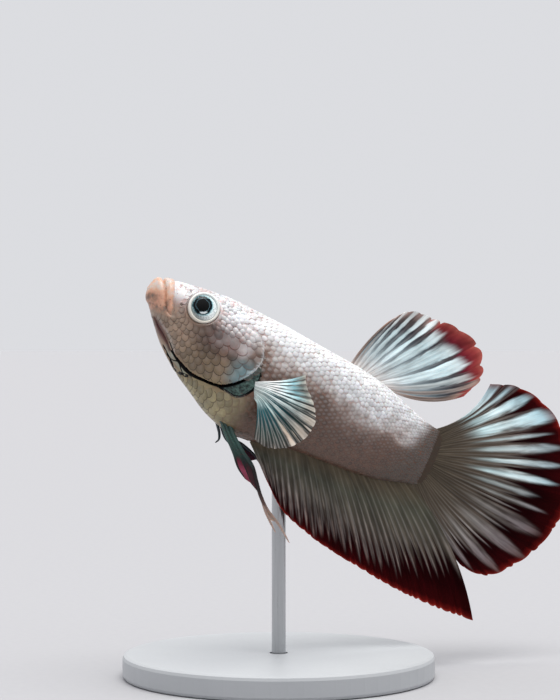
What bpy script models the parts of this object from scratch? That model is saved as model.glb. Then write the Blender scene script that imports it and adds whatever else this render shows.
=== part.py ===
"""A betta fish (Betta splendens, short-finned plakat form), held nose-up on a rod stand.

The fish is drawn in a frame of its own, in millimetres:
  a  distance along the backbone from the snout, growing towards the tail,
  q  sideways, positive to the fish's right,
  h  height above the backbone.
bend() wraps that frame round the curved backbone, and the empty "fish_pose" then tilts and lifts it.
The world is in metres, +Z up, with the origin under the middle of the stand's base.
"""

import math

import bmesh
import bpy
import numpy as np
from mathutils import Matrix, Vector

MM = 0.001

# Driving dimensions, in millimetres and degrees.
BODY_LENGTH = 45.0  # snout to the end of the tail stalk
NOSE_UP = 28.5  # the whole fish is tilted nose up
BELLY_ROLL = 7.0  # and rolled, its belly towards -Y
FIN_THICK = 0.6
GAP = 0.3  # between neighbouring pieces
EYE_RADIUS = 2.35
EYE_HALF_DEPTH = 1.5
EYE_AT = (7.3, 2.85, 0.25)  # a, q of the right eye, h
ROD_RADIUS = 0.9
ROD_AT = (25.0, 1.9)  # a and q where the rod enters the belly
ROD_SOCKET = 2.2  # how deep the rod goes into the belly
BASE_RADIUS = 20.0
BASE_THICK = 3.0
BASE_HOLE = 1.8
FIN_TIP_HEIGHT = 6.0  # lowest fin tip above the floor

# The backbone's heading, in degrees: the head turned one way, the trunk the other, the tail fin back again.
HEAD_YAW = -11.0
TRUNK_TURN, TRUNK_FROM, TRUNK_OVER = 20.0, 8.0, 26.0
TAIL_TURN, TAIL_FROM, TAIL_OVER = -12.0, 40.0, 14.0

# Body stations: a, back, belly, half width, height of the widest point, and the lower half's squareness.
BODY = np.array(
    [
        (0.0, 0.4, 0.4, 0.0, 0.4, 2.2),
        (0.3, 1.75, -0.9, 1.05, 0.4, 2.2),
        (1.2, 2.35, -1.75, 1.65, 0.3, 2.2),
        (2.5, 2.75, -3.25, 2.25, 0.1, 2.1),
        (5.0, 3.25, -5.85, 3.10, -0.4, 2.0),
        (7.5, 3.65, -7.7, 3.75, -1.0, 2.0),
        (10.5, 3.9, -9.3, 4.20, -1.8, 2.0),
        (14.0, 4.0, -11.0, 4.50, -2.6, 2.0),
        (18.0, 4.1, -11.7, 4.50, -3.0, 1.95),
        (21.0, 4.1, -11.2, 4.30, -3.0, 1.85),
        (25.0, 4.2, -9.9, 3.90, -2.4, 1.75),
        (30.0, 4.45, -9.0, 3.35, -1.9, 1.7),
        (35.0, 4.3, -8.1, 2.75, -1.7, 1.75),
        (40.0, 3.6, -6.8, 2.00, -1.5, 1.85),
        (43.0, 3.3, -5.6, 1.45, -1.0, 1.95),
        (45.0, 3.3, -4.9, 0.95, -0.8, 2.0),
    ]
)
TOP_SQUARE = 2.15  # the upper half's squareness: 2 is an ellipse, more is boxier

HEAD_END, TRUNK_END, FLANK_END = 14.0, 26.0, 38.5  # where the body is parted
BODY_AROUND = 32

# Fins: the line they grow from, and the edge that the ray tips draw, front to back or top to bottom (a, h).
DORSAL_ROOT = [(28.6, 4.4), (32.6, 4.45), (36.8, 3.9)]
DORSAL_EDGE = [
    (31.3, 12.3), (33.6, 15.2), (37.4, 16.4), (42.0, 17.1), (45.8, 16.4), (47.5, 13.0), (46.0, 9.0),
]
ANAL_ROOT = [(20.6, -11.3), (25.0, -9.9), (30.0, -9.0), (35.0, -8.1), (40.0, -6.8), (44.3, -5.2)]
ANAL_EDGE = [
    (24.4, -14.7), (28.0, -16.9), (33.5, -18.1), (40.5, -18.6), (48.0, -18.7), (54.5, -18.3), (59.8, -17.5),
]
TAIL_ROOT = [(45.0, 3.2), (45.5, 1.0), (45.5, -2.8), (45.0, -4.8)]
PECTORAL_ROOT = [(16.9, -6.0), (17.1, -6.9), (17.4, -7.8)]
PECTORAL_EDGE = [
    (20.6, -2.3), (22.3, -3.7), (23.5, -5.7), (23.9, -7.5),
    (23.5, -10.1), (21.9, -12.2), (19.8, -13.0), (18.6, -12.7),
]
PECTORAL_FOLDED_EDGE = [
    (20.9, -1.6), (22.6, -2.6), (23.8, -4.0), (24.2, -5.4),
    (23.9, -6.8), (23.1, -8.0), (22.0, -8.8), (20.8, -9.2),
]
PECTORAL_CLEAR, PECTORAL_FLARE = 0.7, 2.6  # how far its root and its edge are out from the flank
TAIL_EDGE = [
    (49.5, 12.9), (52.9, 14.5), (57.4, 14.6), (61.8, 12.5), (65.0, 8.2), (66.5, 2.9),
    (65.8, -2.3), (63.4, -7.4), (59.9, -10.8), (56.4, -11.6), (53.6, -10.2),
]


def ease(t):
    """0 to 1 with soft ends."""
    t = np.clip(t, 0, 1)
    return t * t * (3 - 2 * t)


def curve_through(points, t):
    """Points at t (0 to 1) on a smooth curve through the given ones, spaced by their distances."""
    points = np.asarray(points, float)
    gaps = np.linalg.norm(np.diff(points, axis=0), axis=1)
    knots = np.concatenate([[0], np.cumsum(gaps)]) / gaps.sum()
    slopes = np.gradient(points, knots, axis=0)
    t = np.clip(np.atleast_1d(np.asarray(t, float)), 0, 1)
    k = np.clip(np.searchsorted(knots, t, side="right") - 1, 0, len(gaps) - 1)
    span = (knots[k + 1] - knots[k])[:, None]
    u = (t - knots[k])[:, None] / span
    return (
        (2 * u**3 - 3 * u**2 + 1) * points[k]
        + (u**3 - 2 * u**2 + u) * span * slopes[k]
        + (3 * u**2 - 2 * u**3) * points[k + 1]
        + (u**3 - u**2) * span * slopes[k + 1]
    )


def backbone_table():
    """The backbone's heading added up along it: distance, forward, sideways and heading."""
    a = np.linspace(-5, 80, 1701)
    yaw = np.radians(
        HEAD_YAW
        + TRUNK_TURN * ease((a - TRUNK_FROM) / TRUNK_OVER)
        + TAIL_TURN * ease((a - TAIL_FROM) / TAIL_OVER)
    )
    step = np.diff(a)
    forward = np.concatenate([[0], np.cumsum((np.cos(yaw[1:]) + np.cos(yaw[:-1])) / 2 * step)])
    sideways = np.concatenate([[0], np.cumsum((np.sin(yaw[1:]) + np.sin(yaw[:-1])) / 2 * step)])
    snout = np.argmin(abs(a))
    return a, forward - forward[snout], sideways - sideways[snout], yaw


BACKBONE = backbone_table()


def bend(a, q, h):
    """(a, q, h) in millimetres, wrapped round the backbone, in metres in the fish's frame."""
    a, q, h = np.broadcast_arrays(np.asarray(a, float), q, h)
    table, forward, sideways, yaw = BACKBONE
    turn = np.interp(a, table, yaw)
    x = np.interp(a, table, forward) - q * np.sin(turn)
    y = np.interp(a, table, sideways) + q * np.cos(turn)
    return np.stack([x, y, h], axis=-1) * MM


def station(a):
    """Back, belly, half width, widest height and lower squareness at a, by its root for a round snout."""
    at, knots = np.sqrt(np.clip(a, 0, BODY_LENGTH)), np.sqrt(BODY[:, 0])
    slopes = np.gradient(BODY[:, 1:], knots, axis=0)
    k = int(np.clip(np.searchsorted(knots, at, side="right") - 1, 0, len(knots) - 2))
    span = knots[k + 1] - knots[k]
    u = (at - knots[k]) / span
    return (
        (2 * u**3 - 3 * u**2 + 1) * BODY[k, 1:]
        + (u**3 - 2 * u**2 + u) * span * slopes[k]
        + (3 * u**2 - 2 * u**3) * BODY[k + 1, 1:]
        + (u**3 - u**2) * span * slopes[k + 1]
    )


def section(a, angle):
    """(q, h) of the skin at distance a, angle 0 at the back and pi at the belly, positive to the right."""
    back, belly, width, middle, square = station(a)
    across, up = math.sin(angle), math.cos(angle)
    power = 2 / (TOP_SQUARE if up > 0 else square)
    reach = back - middle if up > 0 else middle - belly
    return (
        width * math.copysign(abs(across) ** power, across),
        middle + reach * math.copysign(abs(up) ** power, up),
    )


def half_width_at(a, h):
    """How far the skin is from the middle at a, at height h."""
    back, belly, width, middle, square = station(a)
    up = h > middle
    power = TOP_SQUARE if up else square
    share = (h - middle) / ((back if up else belly) - middle)
    return width * max(0.0, 1 - abs(share) ** power) ** (1 / power)


# --- Blender helpers ---------------------------------------------------------------------------------


def clear_scene():
    for obj in list(bpy.data.objects):
        bpy.data.objects.remove(obj)
    for collection in list(bpy.data.collections):
        bpy.data.collections.remove(collection)


def new_collection(name):
    made = bpy.data.collections.new(name)
    bpy.context.scene.collection.children.link(made)
    return made


def material(name, colour, roughness, metallic=0.0):
    made = bpy.data.materials.new(name)
    made.use_nodes = True
    surface = made.node_tree.nodes["Principled BSDF"]
    surface.inputs["Base Color"].default_value = (*colour, 1)
    surface.inputs["Roughness"].default_value = roughness
    surface.inputs["Metallic"].default_value = metallic
    return made


def add_object(name, mesh, collection, parent=None, finish=None):
    obj = bpy.data.objects.new(name, mesh)
    collection.objects.link(obj)
    obj.parent = parent
    if finish:
        mesh.materials.append(finish)
    return obj


def mesh_from(name, work):
    """The bmesh as a smooth-shaded mesh with its faces pointing out."""
    bmesh.ops.recalc_face_normals(work, faces=work.faces)
    mesh = bpy.data.meshes.new(name)
    work.to_mesh(mesh)
    work.free()
    mesh.shade_smooth()
    mesh.set_sharp_from_angle(angle=math.radians(40))
    return mesh


def bridge_rings(work, rings):
    """Quads between neighbouring closed rings of the same length."""
    for one, two in zip(rings, rings[1:]):
        for i in range(len(one)):
            j = (i + 1) % len(one)
            work.faces.new((one[i], one[j], two[j], two[i]))


def body_mesh(name, start, end, steps):
    """A length of the body from start to end, closed by flat ends, or by the round snout."""
    work = bmesh.new()
    share = np.linspace(0, 1, steps + 1)
    spacing = share**2 if start == 0 else share  # the blunt snout needs its rings close together
    rings = []
    for a in start + (end - start) * spacing:
        if a == 0:
            continue
        angles = [2 * math.pi * k / BODY_AROUND for k in range(BODY_AROUND)]
        rings.append([work.verts.new(Vector(bend(a, *section(a, t)))) for t in angles])
    bridge_rings(work, rings)
    if start == 0:
        tip = work.verts.new(Vector(bend(0, 0, BODY[0, 1])))
        for i in range(BODY_AROUND):
            work.faces.new((tip, rings[0][i], rings[0][(i + 1) % BODY_AROUND]))
    else:
        work.faces.new(rings[0])
    work.faces.new(rings[-1])
    return mesh_from(name, work)


def prism_mesh(name, outline, near, far, grow=0.0):
    """A side-view outline (a, h) given depth from q = near to far, and moved outwards by grow."""
    outline = np.asarray(outline, float)
    along = np.roll(outline, -1, axis=0) - np.roll(outline, 1, axis=0)
    out = np.stack([along[:, 1], -along[:, 0]], axis=1)
    out /= np.linalg.norm(out, axis=1)[:, None]
    following = np.roll(outline, -1, axis=0)
    turned = np.sum(outline[:, 0] * following[:, 1] - outline[:, 1] * following[:, 0])
    outline = outline + out * grow * math.copysign(1, turned)
    work = bmesh.new()
    rings = [[work.verts.new(Vector(bend(a, q, h))) for a, h in outline] for q in (near, far)]
    bridge_rings(work, rings)
    work.faces.new(rings[0])
    work.faces.new(rings[1])
    return mesh_from(name, work)


def boolean(obj, other, operation):
    step = obj.modifiers.new(f"{operation.lower()} {other.name}", "BOOLEAN")
    step.operation = operation
    step.object = other
    step.solver = "EXACT"


def make_cutter(name, mesh, collection, parent):
    cutter = add_object(name, mesh, collection, parent)
    cutter.hide_render = True
    cutter.display_type = "WIRE"
    return cutter


def fin_mesh(name, place, rays, rows):
    """An open sheet, where place(i, r) gives (a, q, h), with i across the rays and r along them."""
    work = bmesh.new()
    grid = []
    for i in np.linspace(0, 1, rays + 1):
        grid.append([work.verts.new(Vector(bend(*place(i, r)))) for r in np.linspace(0, 1, rows + 1)])
    for one, two in zip(grid, grid[1:]):
        for k in range(rows):
            work.faces.new((one[k], one[k + 1], two[k + 1], two[k]))
    return mesh_from(name, work)


def thicken(obj, thickness):
    step = obj.modifiers.new("thickness", "SOLIDIFY")
    step.thickness = thickness * MM
    step.offset = 0
    step.use_even_offset = True


# --- Where the fins lie ------------------------------------------------------------------------------


def median_fin(root, edge, lift, bow, sway):
    """place(i, r) for a middle fin: lift clears the body, bow curves the rays, sway moves them sideways."""

    def place(i, r):
        start = curve_through(root, i)[0] + np.array(lift)
        end = curve_through(edge, i)[0]
        ray = end - start
        across = np.array([-ray[1], ray[0]])
        a, h = start + ray * r + across * bow(i) * 4 * r * (1 - r)
        return a, sway(i, r), h

    return place


def dorsal_bow(i):
    return 0.04 - 0.12 * i


def anal_bow(i):
    return 0.06 * i


def tail_bow(i):
    return 0.04 - 0.09 * i


def dorsal_sway(i, r):
    return 0.7 * r * math.sin(4.2 * i + 0.4)


def anal_sway(i, r):
    return -0.9 * r * i * i + 0.45 * r * math.sin(8.0 * i)


def tail_sway(i, r):
    return 1.0 * r * r * (0.35 + 0.65 * i) + 0.45 * r * math.sin(9.0 * i + 0.5)


def pectoral_fin(side, edge):
    """place(i, r) for a breast fin: a fan of rays that starts on the flank and stands away from it."""

    def place(i, r):
        start = curve_through(PECTORAL_ROOT, i)[0]
        a, h = start + (curve_through(edge, i)[0] - start) * r
        out = half_width_at(*start) + PECTORAL_CLEAR + PECTORAL_FLARE * (1.25 * r - 0.25 * r * r)
        return a, side * out, h

    return place


# The belly fins: the line of each one's middle (a, q outwards, h), and its width along that line.
PELVIC_LEFT = [
    (15.8, 0.9, -12.1), (17.4, 1.6, -12.7), (19.1, 1.9, -13.7),
    (21.8, 2.2, -15.7), (25.0, 2.1, -17.9), (29.0, 1.7, -20.2),
]
PELVIC_RIGHT = [
    (15.8, 0.9, -12.1), (17.6, 1.6, -12.0), (20.2, 2.3, -11.9),
    (23.4, 3.1, -12.4), (26.6, 4.1, -13.6), (30.0, 4.8, -15.6),
]
PELVIC_WIDTH = [(0.0, 0.9), (0.2, 1.2), (0.42, 1.7), (0.55, 1.1), (0.75, 1.0), (1.0, 0.9)]


def pelvic_fin(side, middle):
    """place(i, r) for a belly fin: a narrow blade along its middle line."""

    def place(i, r):
        a, q, h = curve_through(middle, r)[0]
        before, after = curve_through(middle, [r - 0.02, r + 0.02])
        along = (after - before)[[0, 2]]
        along /= np.linalg.norm(along)
        wide = curve_through(PELVIC_WIDTH, r)[0][1] * (i - 0.5)
        return a - along[1] * wide, side * q, h + along[0] * wide

    return place


# --- The pieces --------------------------------------------------------------------------------------


def lowest_fin_point():
    """How far the anal fin's tip is below the snout once the fish is tilted, in metres."""
    tip = Vector(bend(ANAL_EDGE[-1][0], anal_sway(1, 1), ANAL_EDGE[-1][1]))
    return (pose_rotation() @ tip).z


def pose_rotation():
    return Matrix.Rotation(math.radians(NOSE_UP), 3, "Y") @ Matrix.Rotation(math.radians(-BELLY_ROLL), 3, "X")


def add_fish_pose(collection):
    """The empty that carries the fish: tilted, rolled, and set so that the rod comes down on the origin."""
    rod_a, rod_q = ROD_AT
    belly = Vector(bend(rod_a, rod_q, station(rod_a)[1]))
    over = pose_rotation() @ belly
    pose = bpy.data.objects.new("fish_pose", None)
    collection.objects.link(pose)
    pose.rotation_euler = (math.radians(-BELLY_ROLL), math.radians(NOSE_UP), 0)
    pose.location = (-over.x, -over.y, FIN_TIP_HEIGHT * MM - lowest_fin_point())
    return pose


def eye_mesh(name, grow=0.0):
    """A flattened ball, its short way sideways."""
    work = bmesh.new()
    bmesh.ops.create_uvsphere(work, u_segments=20, v_segments=10, radius=1)
    radius, depth = (EYE_RADIUS + grow) * MM, (EYE_HALF_DEPTH + grow) * MM
    bmesh.ops.scale(work, vec=(radius, radius, depth), verts=work.verts)
    bmesh.ops.rotate(work, matrix=Matrix.Rotation(math.pi / 2, 3, "X"), verts=work.verts)
    return mesh_from(name, work)


def add_eyes(parts, cutters, pose, finish):
    """Both eyes, and the sockets that clear them."""
    a, q, h = EYE_AT
    sockets = []
    for word, side in (("left", -1), ("right", 1)):
        eye = add_object(f"eye_{word}", eye_mesh(f"eye_{word}"), parts, pose, finish)
        socket = make_cutter(f"cut_socket_{word}", eye_mesh(f"cut_socket_{word}", GAP), cutters, pose)
        for obj in (eye, socket):
            obj.location = Vector(bend(a, side * q, h))
            obj.rotation_euler = (0, 0, math.radians(HEAD_YAW))
        sockets.append(socket)
    return sockets


# Side-view outlines (a, h) of the pieces of the head.
LOWER_JAW = [
    (-2, 4.5), (1.15, 4.5), (1.25, 2.4), (1.45, 0.6), (2.15, -0.65),
    (2.95, -1.9), (4.4, -4.6), (4.9, -7.0), (-2, -7.0),
]
UPPER_JAW = [
    (1.45, 4.5), (1.55, 2.4), (1.75, 0.7), (2.42, -0.5), (3.25, -1.75), (3.9, -1.95),
    (4.4, -1.6), (4.1, -0.65), (3.65, 0.45), (3.3, 1.45), (3.0, 2.6), (2.9, 4.5),
]
GILL_COVER = [
    (13.0, 0.7), (14.4, 0.55), (15.5, -0.3), (16.3, -1.7), (16.5, -3.2),
    (16.1, -4.9), (15.1, -6.4), (13.6, -7.6), (12.0, -8.2), (10.2, -8.3),
    (8.9, -8.0), (8.7, -6.4), (9.2, -3.6), (10.2, -1.2), (11.5, 0.3),
]
GILL_INNER = 2.6  # the gill covers' inner face, from the middle


def smooth_outline(points, count=28):
    """A round closed outline through the points."""
    return curve_through([*points, points[0]], np.linspace(0, 1, count + 1)[:-1])


def add_head(parts, cutters, pose, skin, lip):
    head = add_object("head", body_mesh("head", 0, HEAD_END, 16), parts, pose, skin)
    for socket in add_eyes(parts, cutters, pose, material("eye", (0.55, 0.65, 0.64), 0.1)):
        boolean(head, socket, "DIFFERENCE")
    for name, outline, finish in (("lower_jaw", LOWER_JAW, lip), ("upper_jaw", UPPER_JAW, lip)):
        jaw = add_object(name, body_mesh(name, 0, HEAD_END / 2, 14), parts, pose, finish)
        shape = prism_mesh(f"shape_{name}", outline, -8, 8)
        space = prism_mesh(f"cut_{name}", outline, -8.5, 8.5, GAP)
        boolean(jaw, make_cutter(shape.name, shape, cutters, pose), "INTERSECT")
        boolean(head, make_cutter(space.name, space, cutters, pose), "DIFFERENCE")
    return head


def add_gill_covers(parts, cutters, pose, skin, around):
    """The two plates over the gills, each cut from the body's own shape, and the room for them in around."""
    outline = smooth_outline(GILL_COVER)
    for word, side in (("left", -1), ("right", 1)):
        name = f"gill_cover_{word}"
        cover = add_object(name, body_mesh(name, 6.0, 19.0, 16), parts, pose, skin)
        shape = prism_mesh(f"shape_{name}", outline, side * GILL_INNER, side * 7)
        space = prism_mesh(f"cut_{name}", outline, side * (GILL_INNER - GAP), side * 7.5, GAP)
        boolean(cover, make_cutter(shape.name, shape, cutters, pose), "INTERSECT")
        cutter = make_cutter(space.name, space, cutters, pose)
        for obj in around:
            boolean(obj, cutter, "DIFFERENCE")


def add_trunk(parts, pose, skin):
    """The body behind the head in three lengths, parted by thin gaps."""
    lengths = (
        ("trunk_front", HEAD_END + GAP, TRUNK_END, 12),
        ("trunk_rear", TRUNK_END + GAP, FLANK_END, 12),
        ("tail_stalk", FLANK_END + GAP, BODY_LENGTH, 8),
    )
    return [add_object(name, body_mesh(name, a, b, n), parts, pose, skin) for name, a, b, n in lengths]


def add_fins(parts, pose, finish):
    """The three fins of the middle line, then the breast and belly pairs."""
    dorsal = median_fin(DORSAL_ROOT, DORSAL_EDGE, (0, 0.4), dorsal_bow, dorsal_sway)
    anal = median_fin(ANAL_ROOT, ANAL_EDGE, (0, -0.4), anal_bow, anal_sway)
    tail = median_fin(TAIL_ROOT, TAIL_EDGE, (0.35, 0), tail_bow, tail_sway)
    fins = (
        ("dorsal_fin", dorsal, 14, 7),
        ("anal_fin", anal, 24, 7),
        ("caudal_fin", tail, 24, 8),
        ("pectoral_fin_left", pectoral_fin(-1, PECTORAL_EDGE), 12, 5),
        ("pectoral_fin_right", pectoral_fin(1, PECTORAL_FOLDED_EDGE), 12, 5),
        ("pelvic_fin_left", pelvic_fin(-1, PELVIC_LEFT), 2, 12),
        ("pelvic_fin_right", pelvic_fin(1, PELVIC_RIGHT), 2, 12),
    )
    for name, place, rays, rows in fins:
        fin = add_object(name, fin_mesh(name, place, rays, rows), parts, pose, finish)
        thicken(fin, FIN_THICK)


def cylinder_mesh(name, radius, low, high, segments):
    work = bmesh.new()
    wide, tall = radius * MM, (high - low) * MM
    bmesh.ops.create_cone(work, cap_ends=True, segments=segments, radius1=wide, radius2=wide, depth=tall)
    bmesh.ops.translate(work, vec=(0, 0, (high + low) / 2 * MM), verts=work.verts)
    return mesh_from(name, work)


def add_stand(parts, cutters, pose, trunk):
    """A round base with a rod that stands in it and in the belly, one in each end's own hole."""
    rod_a, rod_q = ROD_AT
    h = -math.inf
    for angle in np.linspace(math.pi / 2, math.pi, 200):
        q, low = section(rod_a, angle)
        if q < rod_q:
            break
        h = low
    belly = (pose.matrix_world @ Vector(bend(rod_a, rod_q, h))).z / MM
    dark = material("base_acrylic", (0.32, 0.33, 0.35), 0.25)
    steel = material("rod_steel", (0.62, 0.62, 0.6), 0.3, 1.0)
    disc = cylinder_mesh("stand_base", BASE_RADIUS, 0, BASE_THICK, 64)
    base = add_object("stand_base", disc, parts, None, dark)
    edge = base.modifiers.new("rounded edge", "BEVEL")
    edge.width = 0.5 * MM
    edge.segments = 2
    edge.limit_method = "ANGLE"
    foot = BASE_THICK - BASE_HOLE
    hole = cylinder_mesh("cut_base_hole", ROD_RADIUS + GAP, foot, BASE_THICK + 1, 24)
    boolean(base, make_cutter(hole.name, hole, cutters, None), "DIFFERENCE")
    top = belly + ROD_SOCKET
    add_object("stand_rod", cylinder_mesh("stand_rod", ROD_RADIUS, foot + GAP, top, 24), parts, None, steel)
    hole = cylinder_mesh("cut_belly_hole", ROD_RADIUS + GAP, belly - 6, top + GAP, 24)
    boolean(trunk, make_cutter(hole.name, hole, cutters, None), "DIFFERENCE")


def build():
    clear_scene()
    parts = new_collection("betta_fish")
    cutters = new_collection("cutters")
    pose = add_fish_pose(parts)
    bpy.context.view_layer.update()
    skin = material("skin", (0.72, 0.66, 0.62), 0.45)
    lip = material("lip", (0.75, 0.48, 0.38), 0.45)
    fin = material("fin", (0.45, 0.50, 0.50), 0.4)
    head = add_head(parts, cutters, pose, skin, lip)
    trunk = add_trunk(parts, pose, skin)
    add_gill_covers(parts, cutters, pose, skin, [head, trunk[0]])
    add_fins(parts, pose, fin)
    add_stand(parts, cutters, pose, trunk[0])


build()
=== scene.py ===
# %% [markdown]
# # A betta fish on a stand
#
# This script dresses a measured model of a small fish. The model comes as a frame: plain solids for the
# head, trunk, fins and eyes, and the stand that holds them up. Each step below makes one part of the animal
# as it looks in life: one skin, scales over it, fins with bony rays, eyes, and then the light and the
# camera. The frame is loaded first, because every piece has to fit it.

# %% Load the frame
import math

import bpy
import numpy as np
from mathutils import Euler, Matrix, Vector


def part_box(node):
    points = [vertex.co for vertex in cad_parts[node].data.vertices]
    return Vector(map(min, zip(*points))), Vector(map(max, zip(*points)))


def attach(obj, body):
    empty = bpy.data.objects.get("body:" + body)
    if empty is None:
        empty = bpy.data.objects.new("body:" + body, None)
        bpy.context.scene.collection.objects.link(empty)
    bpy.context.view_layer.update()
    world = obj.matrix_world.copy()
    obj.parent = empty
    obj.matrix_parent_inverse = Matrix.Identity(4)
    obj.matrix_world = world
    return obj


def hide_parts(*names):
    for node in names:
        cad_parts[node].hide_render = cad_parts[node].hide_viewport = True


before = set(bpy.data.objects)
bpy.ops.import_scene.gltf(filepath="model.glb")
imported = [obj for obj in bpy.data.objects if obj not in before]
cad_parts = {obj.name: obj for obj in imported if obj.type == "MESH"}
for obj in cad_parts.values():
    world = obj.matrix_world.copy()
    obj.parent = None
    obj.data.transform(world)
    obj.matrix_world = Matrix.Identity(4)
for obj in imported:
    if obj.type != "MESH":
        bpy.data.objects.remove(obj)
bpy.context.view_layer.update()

MM = 0.001
print("nodes in the frame:", len(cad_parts))

# %% [markdown]
# ## The camera
#
# A camera could be set by eye, but the picture then never quite fits the model. Here its place, turn and
# lens are plain numbers. It stands level with the fish's shoulder, to its left and a little ahead of it,
# and the lens is long enough that near and far parts keep their proportions. It comes first, because all
# the detail is made for what it sees.

# %% Camera
CAMERA_AT = (-90.0, -247.74, 41.85)  # millimetres
CAMERA_TURN = -20.0  # degrees round the upright axis, 0 looks along +Y
CAMERA_LENS = 105.6  # focal length, millimetres

camera_data = bpy.data.cameras.new("camera")
camera_data.lens = CAMERA_LENS
camera_data.clip_start = 0.01
camera = bpy.data.objects.new("camera", camera_data)
camera.location = Vector(CAMERA_AT) * MM
camera.rotation_euler = Euler((math.radians(90), 0, math.radians(CAMERA_TURN)))
bpy.context.scene.collection.objects.link(camera)
bpy.context.scene.camera = camera
print("camera", tuple(round(v, 4) for v in camera.location))

# %% [markdown]
# ## The fish's own frame
#
# A fish is bent and tilted, which makes it hard to measure in world coordinates. It is easier to draw it
# straight: a runs along the backbone from the snout, q is sideways (its right is positive) and h is height
# above the backbone, all in millimetres. One function then bends that frame along the curved backbone, and
# another tilts it nose up and rolls it. The same numbers shaped the solids, so the pieces fit them. The
# left eye's solid tells where the whole fish stands.

# %% Bending and tilting
BODY_LENGTH = 45.0  # snout to the end of the tail stalk
NOSE_UP = 28.5  # degrees, like the other turns
BELLY_ROLL = 7.0
HEAD_YAW = -11.0
TRUNK_TURN, TRUNK_FROM, TRUNK_OVER = 20.0, 8.0, 26.0  # a turn in degrees, where it starts, and over how far
TAIL_TURN, TAIL_FROM, TAIL_OVER = -12.0, 40.0, 14.0
EYE_AT = (7.3, 2.85, 0.25)  # (a, q, h) of the middle of the right eye


def ease(t):
    """0 to 1 with soft ends."""
    t = np.clip(t, 0, 1)
    return t * t * (3 - 2 * t)


def backbone_table():
    """Distance along the backbone, and how far forward, sideways and turned it is there."""
    a = np.linspace(-5, 80, 1701)
    trunk = TRUNK_TURN * ease((a - TRUNK_FROM) / TRUNK_OVER)
    tail = TAIL_TURN * ease((a - TAIL_FROM) / TAIL_OVER)
    yaw = np.radians(HEAD_YAW + trunk + tail)
    step = np.diff(a)
    forward = np.concatenate([[0], np.cumsum((np.cos(yaw[1:]) + np.cos(yaw[:-1])) / 2 * step)])
    sideways = np.concatenate([[0], np.cumsum((np.sin(yaw[1:]) + np.sin(yaw[:-1])) / 2 * step)])
    snout = np.argmin(abs(a))
    return a, forward - forward[snout], sideways - sideways[snout], yaw


BACKBONE = backbone_table()
TILT = np.array(
    Matrix.Rotation(math.radians(NOSE_UP), 3, "Y") @ Matrix.Rotation(math.radians(-BELLY_ROLL), 3, "X")
)


def bend(a, q, h):
    """Straight (a, q, h) to the bent fish, still in millimetres."""
    a, q, h = np.broadcast_arrays(np.asarray(a, float), q, h)
    table, forward, sideways, yaw = BACKBONE
    turn = np.interp(a, table, yaw)
    x = np.interp(a, table, forward) - q * np.sin(turn)
    y = np.interp(a, table, sideways) + q * np.cos(turn)
    return np.stack([x, y, h], axis=-1)


left_eye_box = np.array(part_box("eye_left"), float)
FISH_AT = left_eye_box.mean(axis=0) - TILT @ bend(EYE_AT[0], -EYE_AT[1], EYE_AT[2]) * MM


def to_world(bent):
    """The bent fish, tilted and set on the stand, in metres."""
    return bent * MM @ TILT.T + FISH_AT


print("snout at", np.round(to_world(bend(0, 0, 0.4)) * 1000, 1), "mm")

# %% [markdown]
# ## The body's shape
#
# A body like this could be sculpted, but a loft is exact and repeats: at a few stations along the backbone
# it has a back, a belly, a half width, the height of its widest point, and a number that says how square
# its lower half is. A smooth curve runs through the stations. It goes by the root of the distance, which
# gives the snout its round end.

# %% Body stations
BODY = np.array(
    [
        (0.0, 0.4, 0.4, 0.0, 0.4, 2.2),
        (0.3, 1.75, -0.9, 1.05, 0.4, 2.2),
        (1.2, 2.35, -1.75, 1.65, 0.3, 2.2),
        (2.5, 2.75, -3.25, 2.25, 0.1, 2.1),
        (5.0, 3.25, -5.85, 3.10, -0.4, 2.0),
        (7.5, 3.65, -7.7, 3.75, -1.0, 2.0),
        (10.5, 3.9, -9.3, 4.20, -1.8, 2.0),
        (14.0, 4.0, -11.0, 4.50, -2.6, 2.0),
        (18.0, 4.1, -11.7, 4.50, -3.0, 1.95),
        (21.0, 4.1, -11.2, 4.30, -3.0, 1.85),
        (25.0, 4.2, -9.9, 3.90, -2.4, 1.75),
        (30.0, 4.45, -9.0, 3.35, -1.9, 1.7),
        (35.0, 4.3, -8.1, 2.75, -1.7, 1.75),
        (40.0, 3.6, -6.8, 2.00, -1.5, 1.85),
        (43.0, 3.3, -5.6, 1.45, -1.0, 1.95),
        (45.0, 3.3, -4.9, 0.95, -0.8, 2.0),
    ]
)
TOP_SQUARE = 2.15  # how square the upper half is, everywhere


def smooth_between(knots, values, at):
    """A smooth curve through values at knots, read at many places."""
    slopes = np.gradient(values, knots, axis=0)
    at = np.clip(at, knots[0], knots[-1])
    k = np.clip(np.searchsorted(knots, at, side="right") - 1, 0, len(knots) - 2)
    span = (knots[k + 1] - knots[k])[..., None]
    u = (at - knots[k])[..., None] / span
    return (
        (2 * u**3 - 3 * u**2 + 1) * values[k]
        + (u**3 - 2 * u**2 + u) * span * slopes[k]
        + (3 * u**2 - 2 * u**3) * values[k + 1]
        + (u**3 - u**2) * span * slopes[k + 1]
    )


def curve_through(points, t):
    """Points at t (0 to 1) on a smooth curve through the given ones."""
    points = np.asarray(points, float)
    gaps = np.linalg.norm(np.diff(points, axis=0), axis=1)
    knots = np.concatenate([[0], np.cumsum(gaps)]) / gaps.sum()
    return smooth_between(knots, points, np.asarray(t, float))


def station(a):
    """Back, belly, half width, widest height and lower squareness at each a."""
    read = smooth_between(np.sqrt(BODY[:, 0]), BODY[:, 1:], np.sqrt(np.clip(a, 0, BODY_LENGTH)))
    return np.moveaxis(read, -1, 0)


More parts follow.
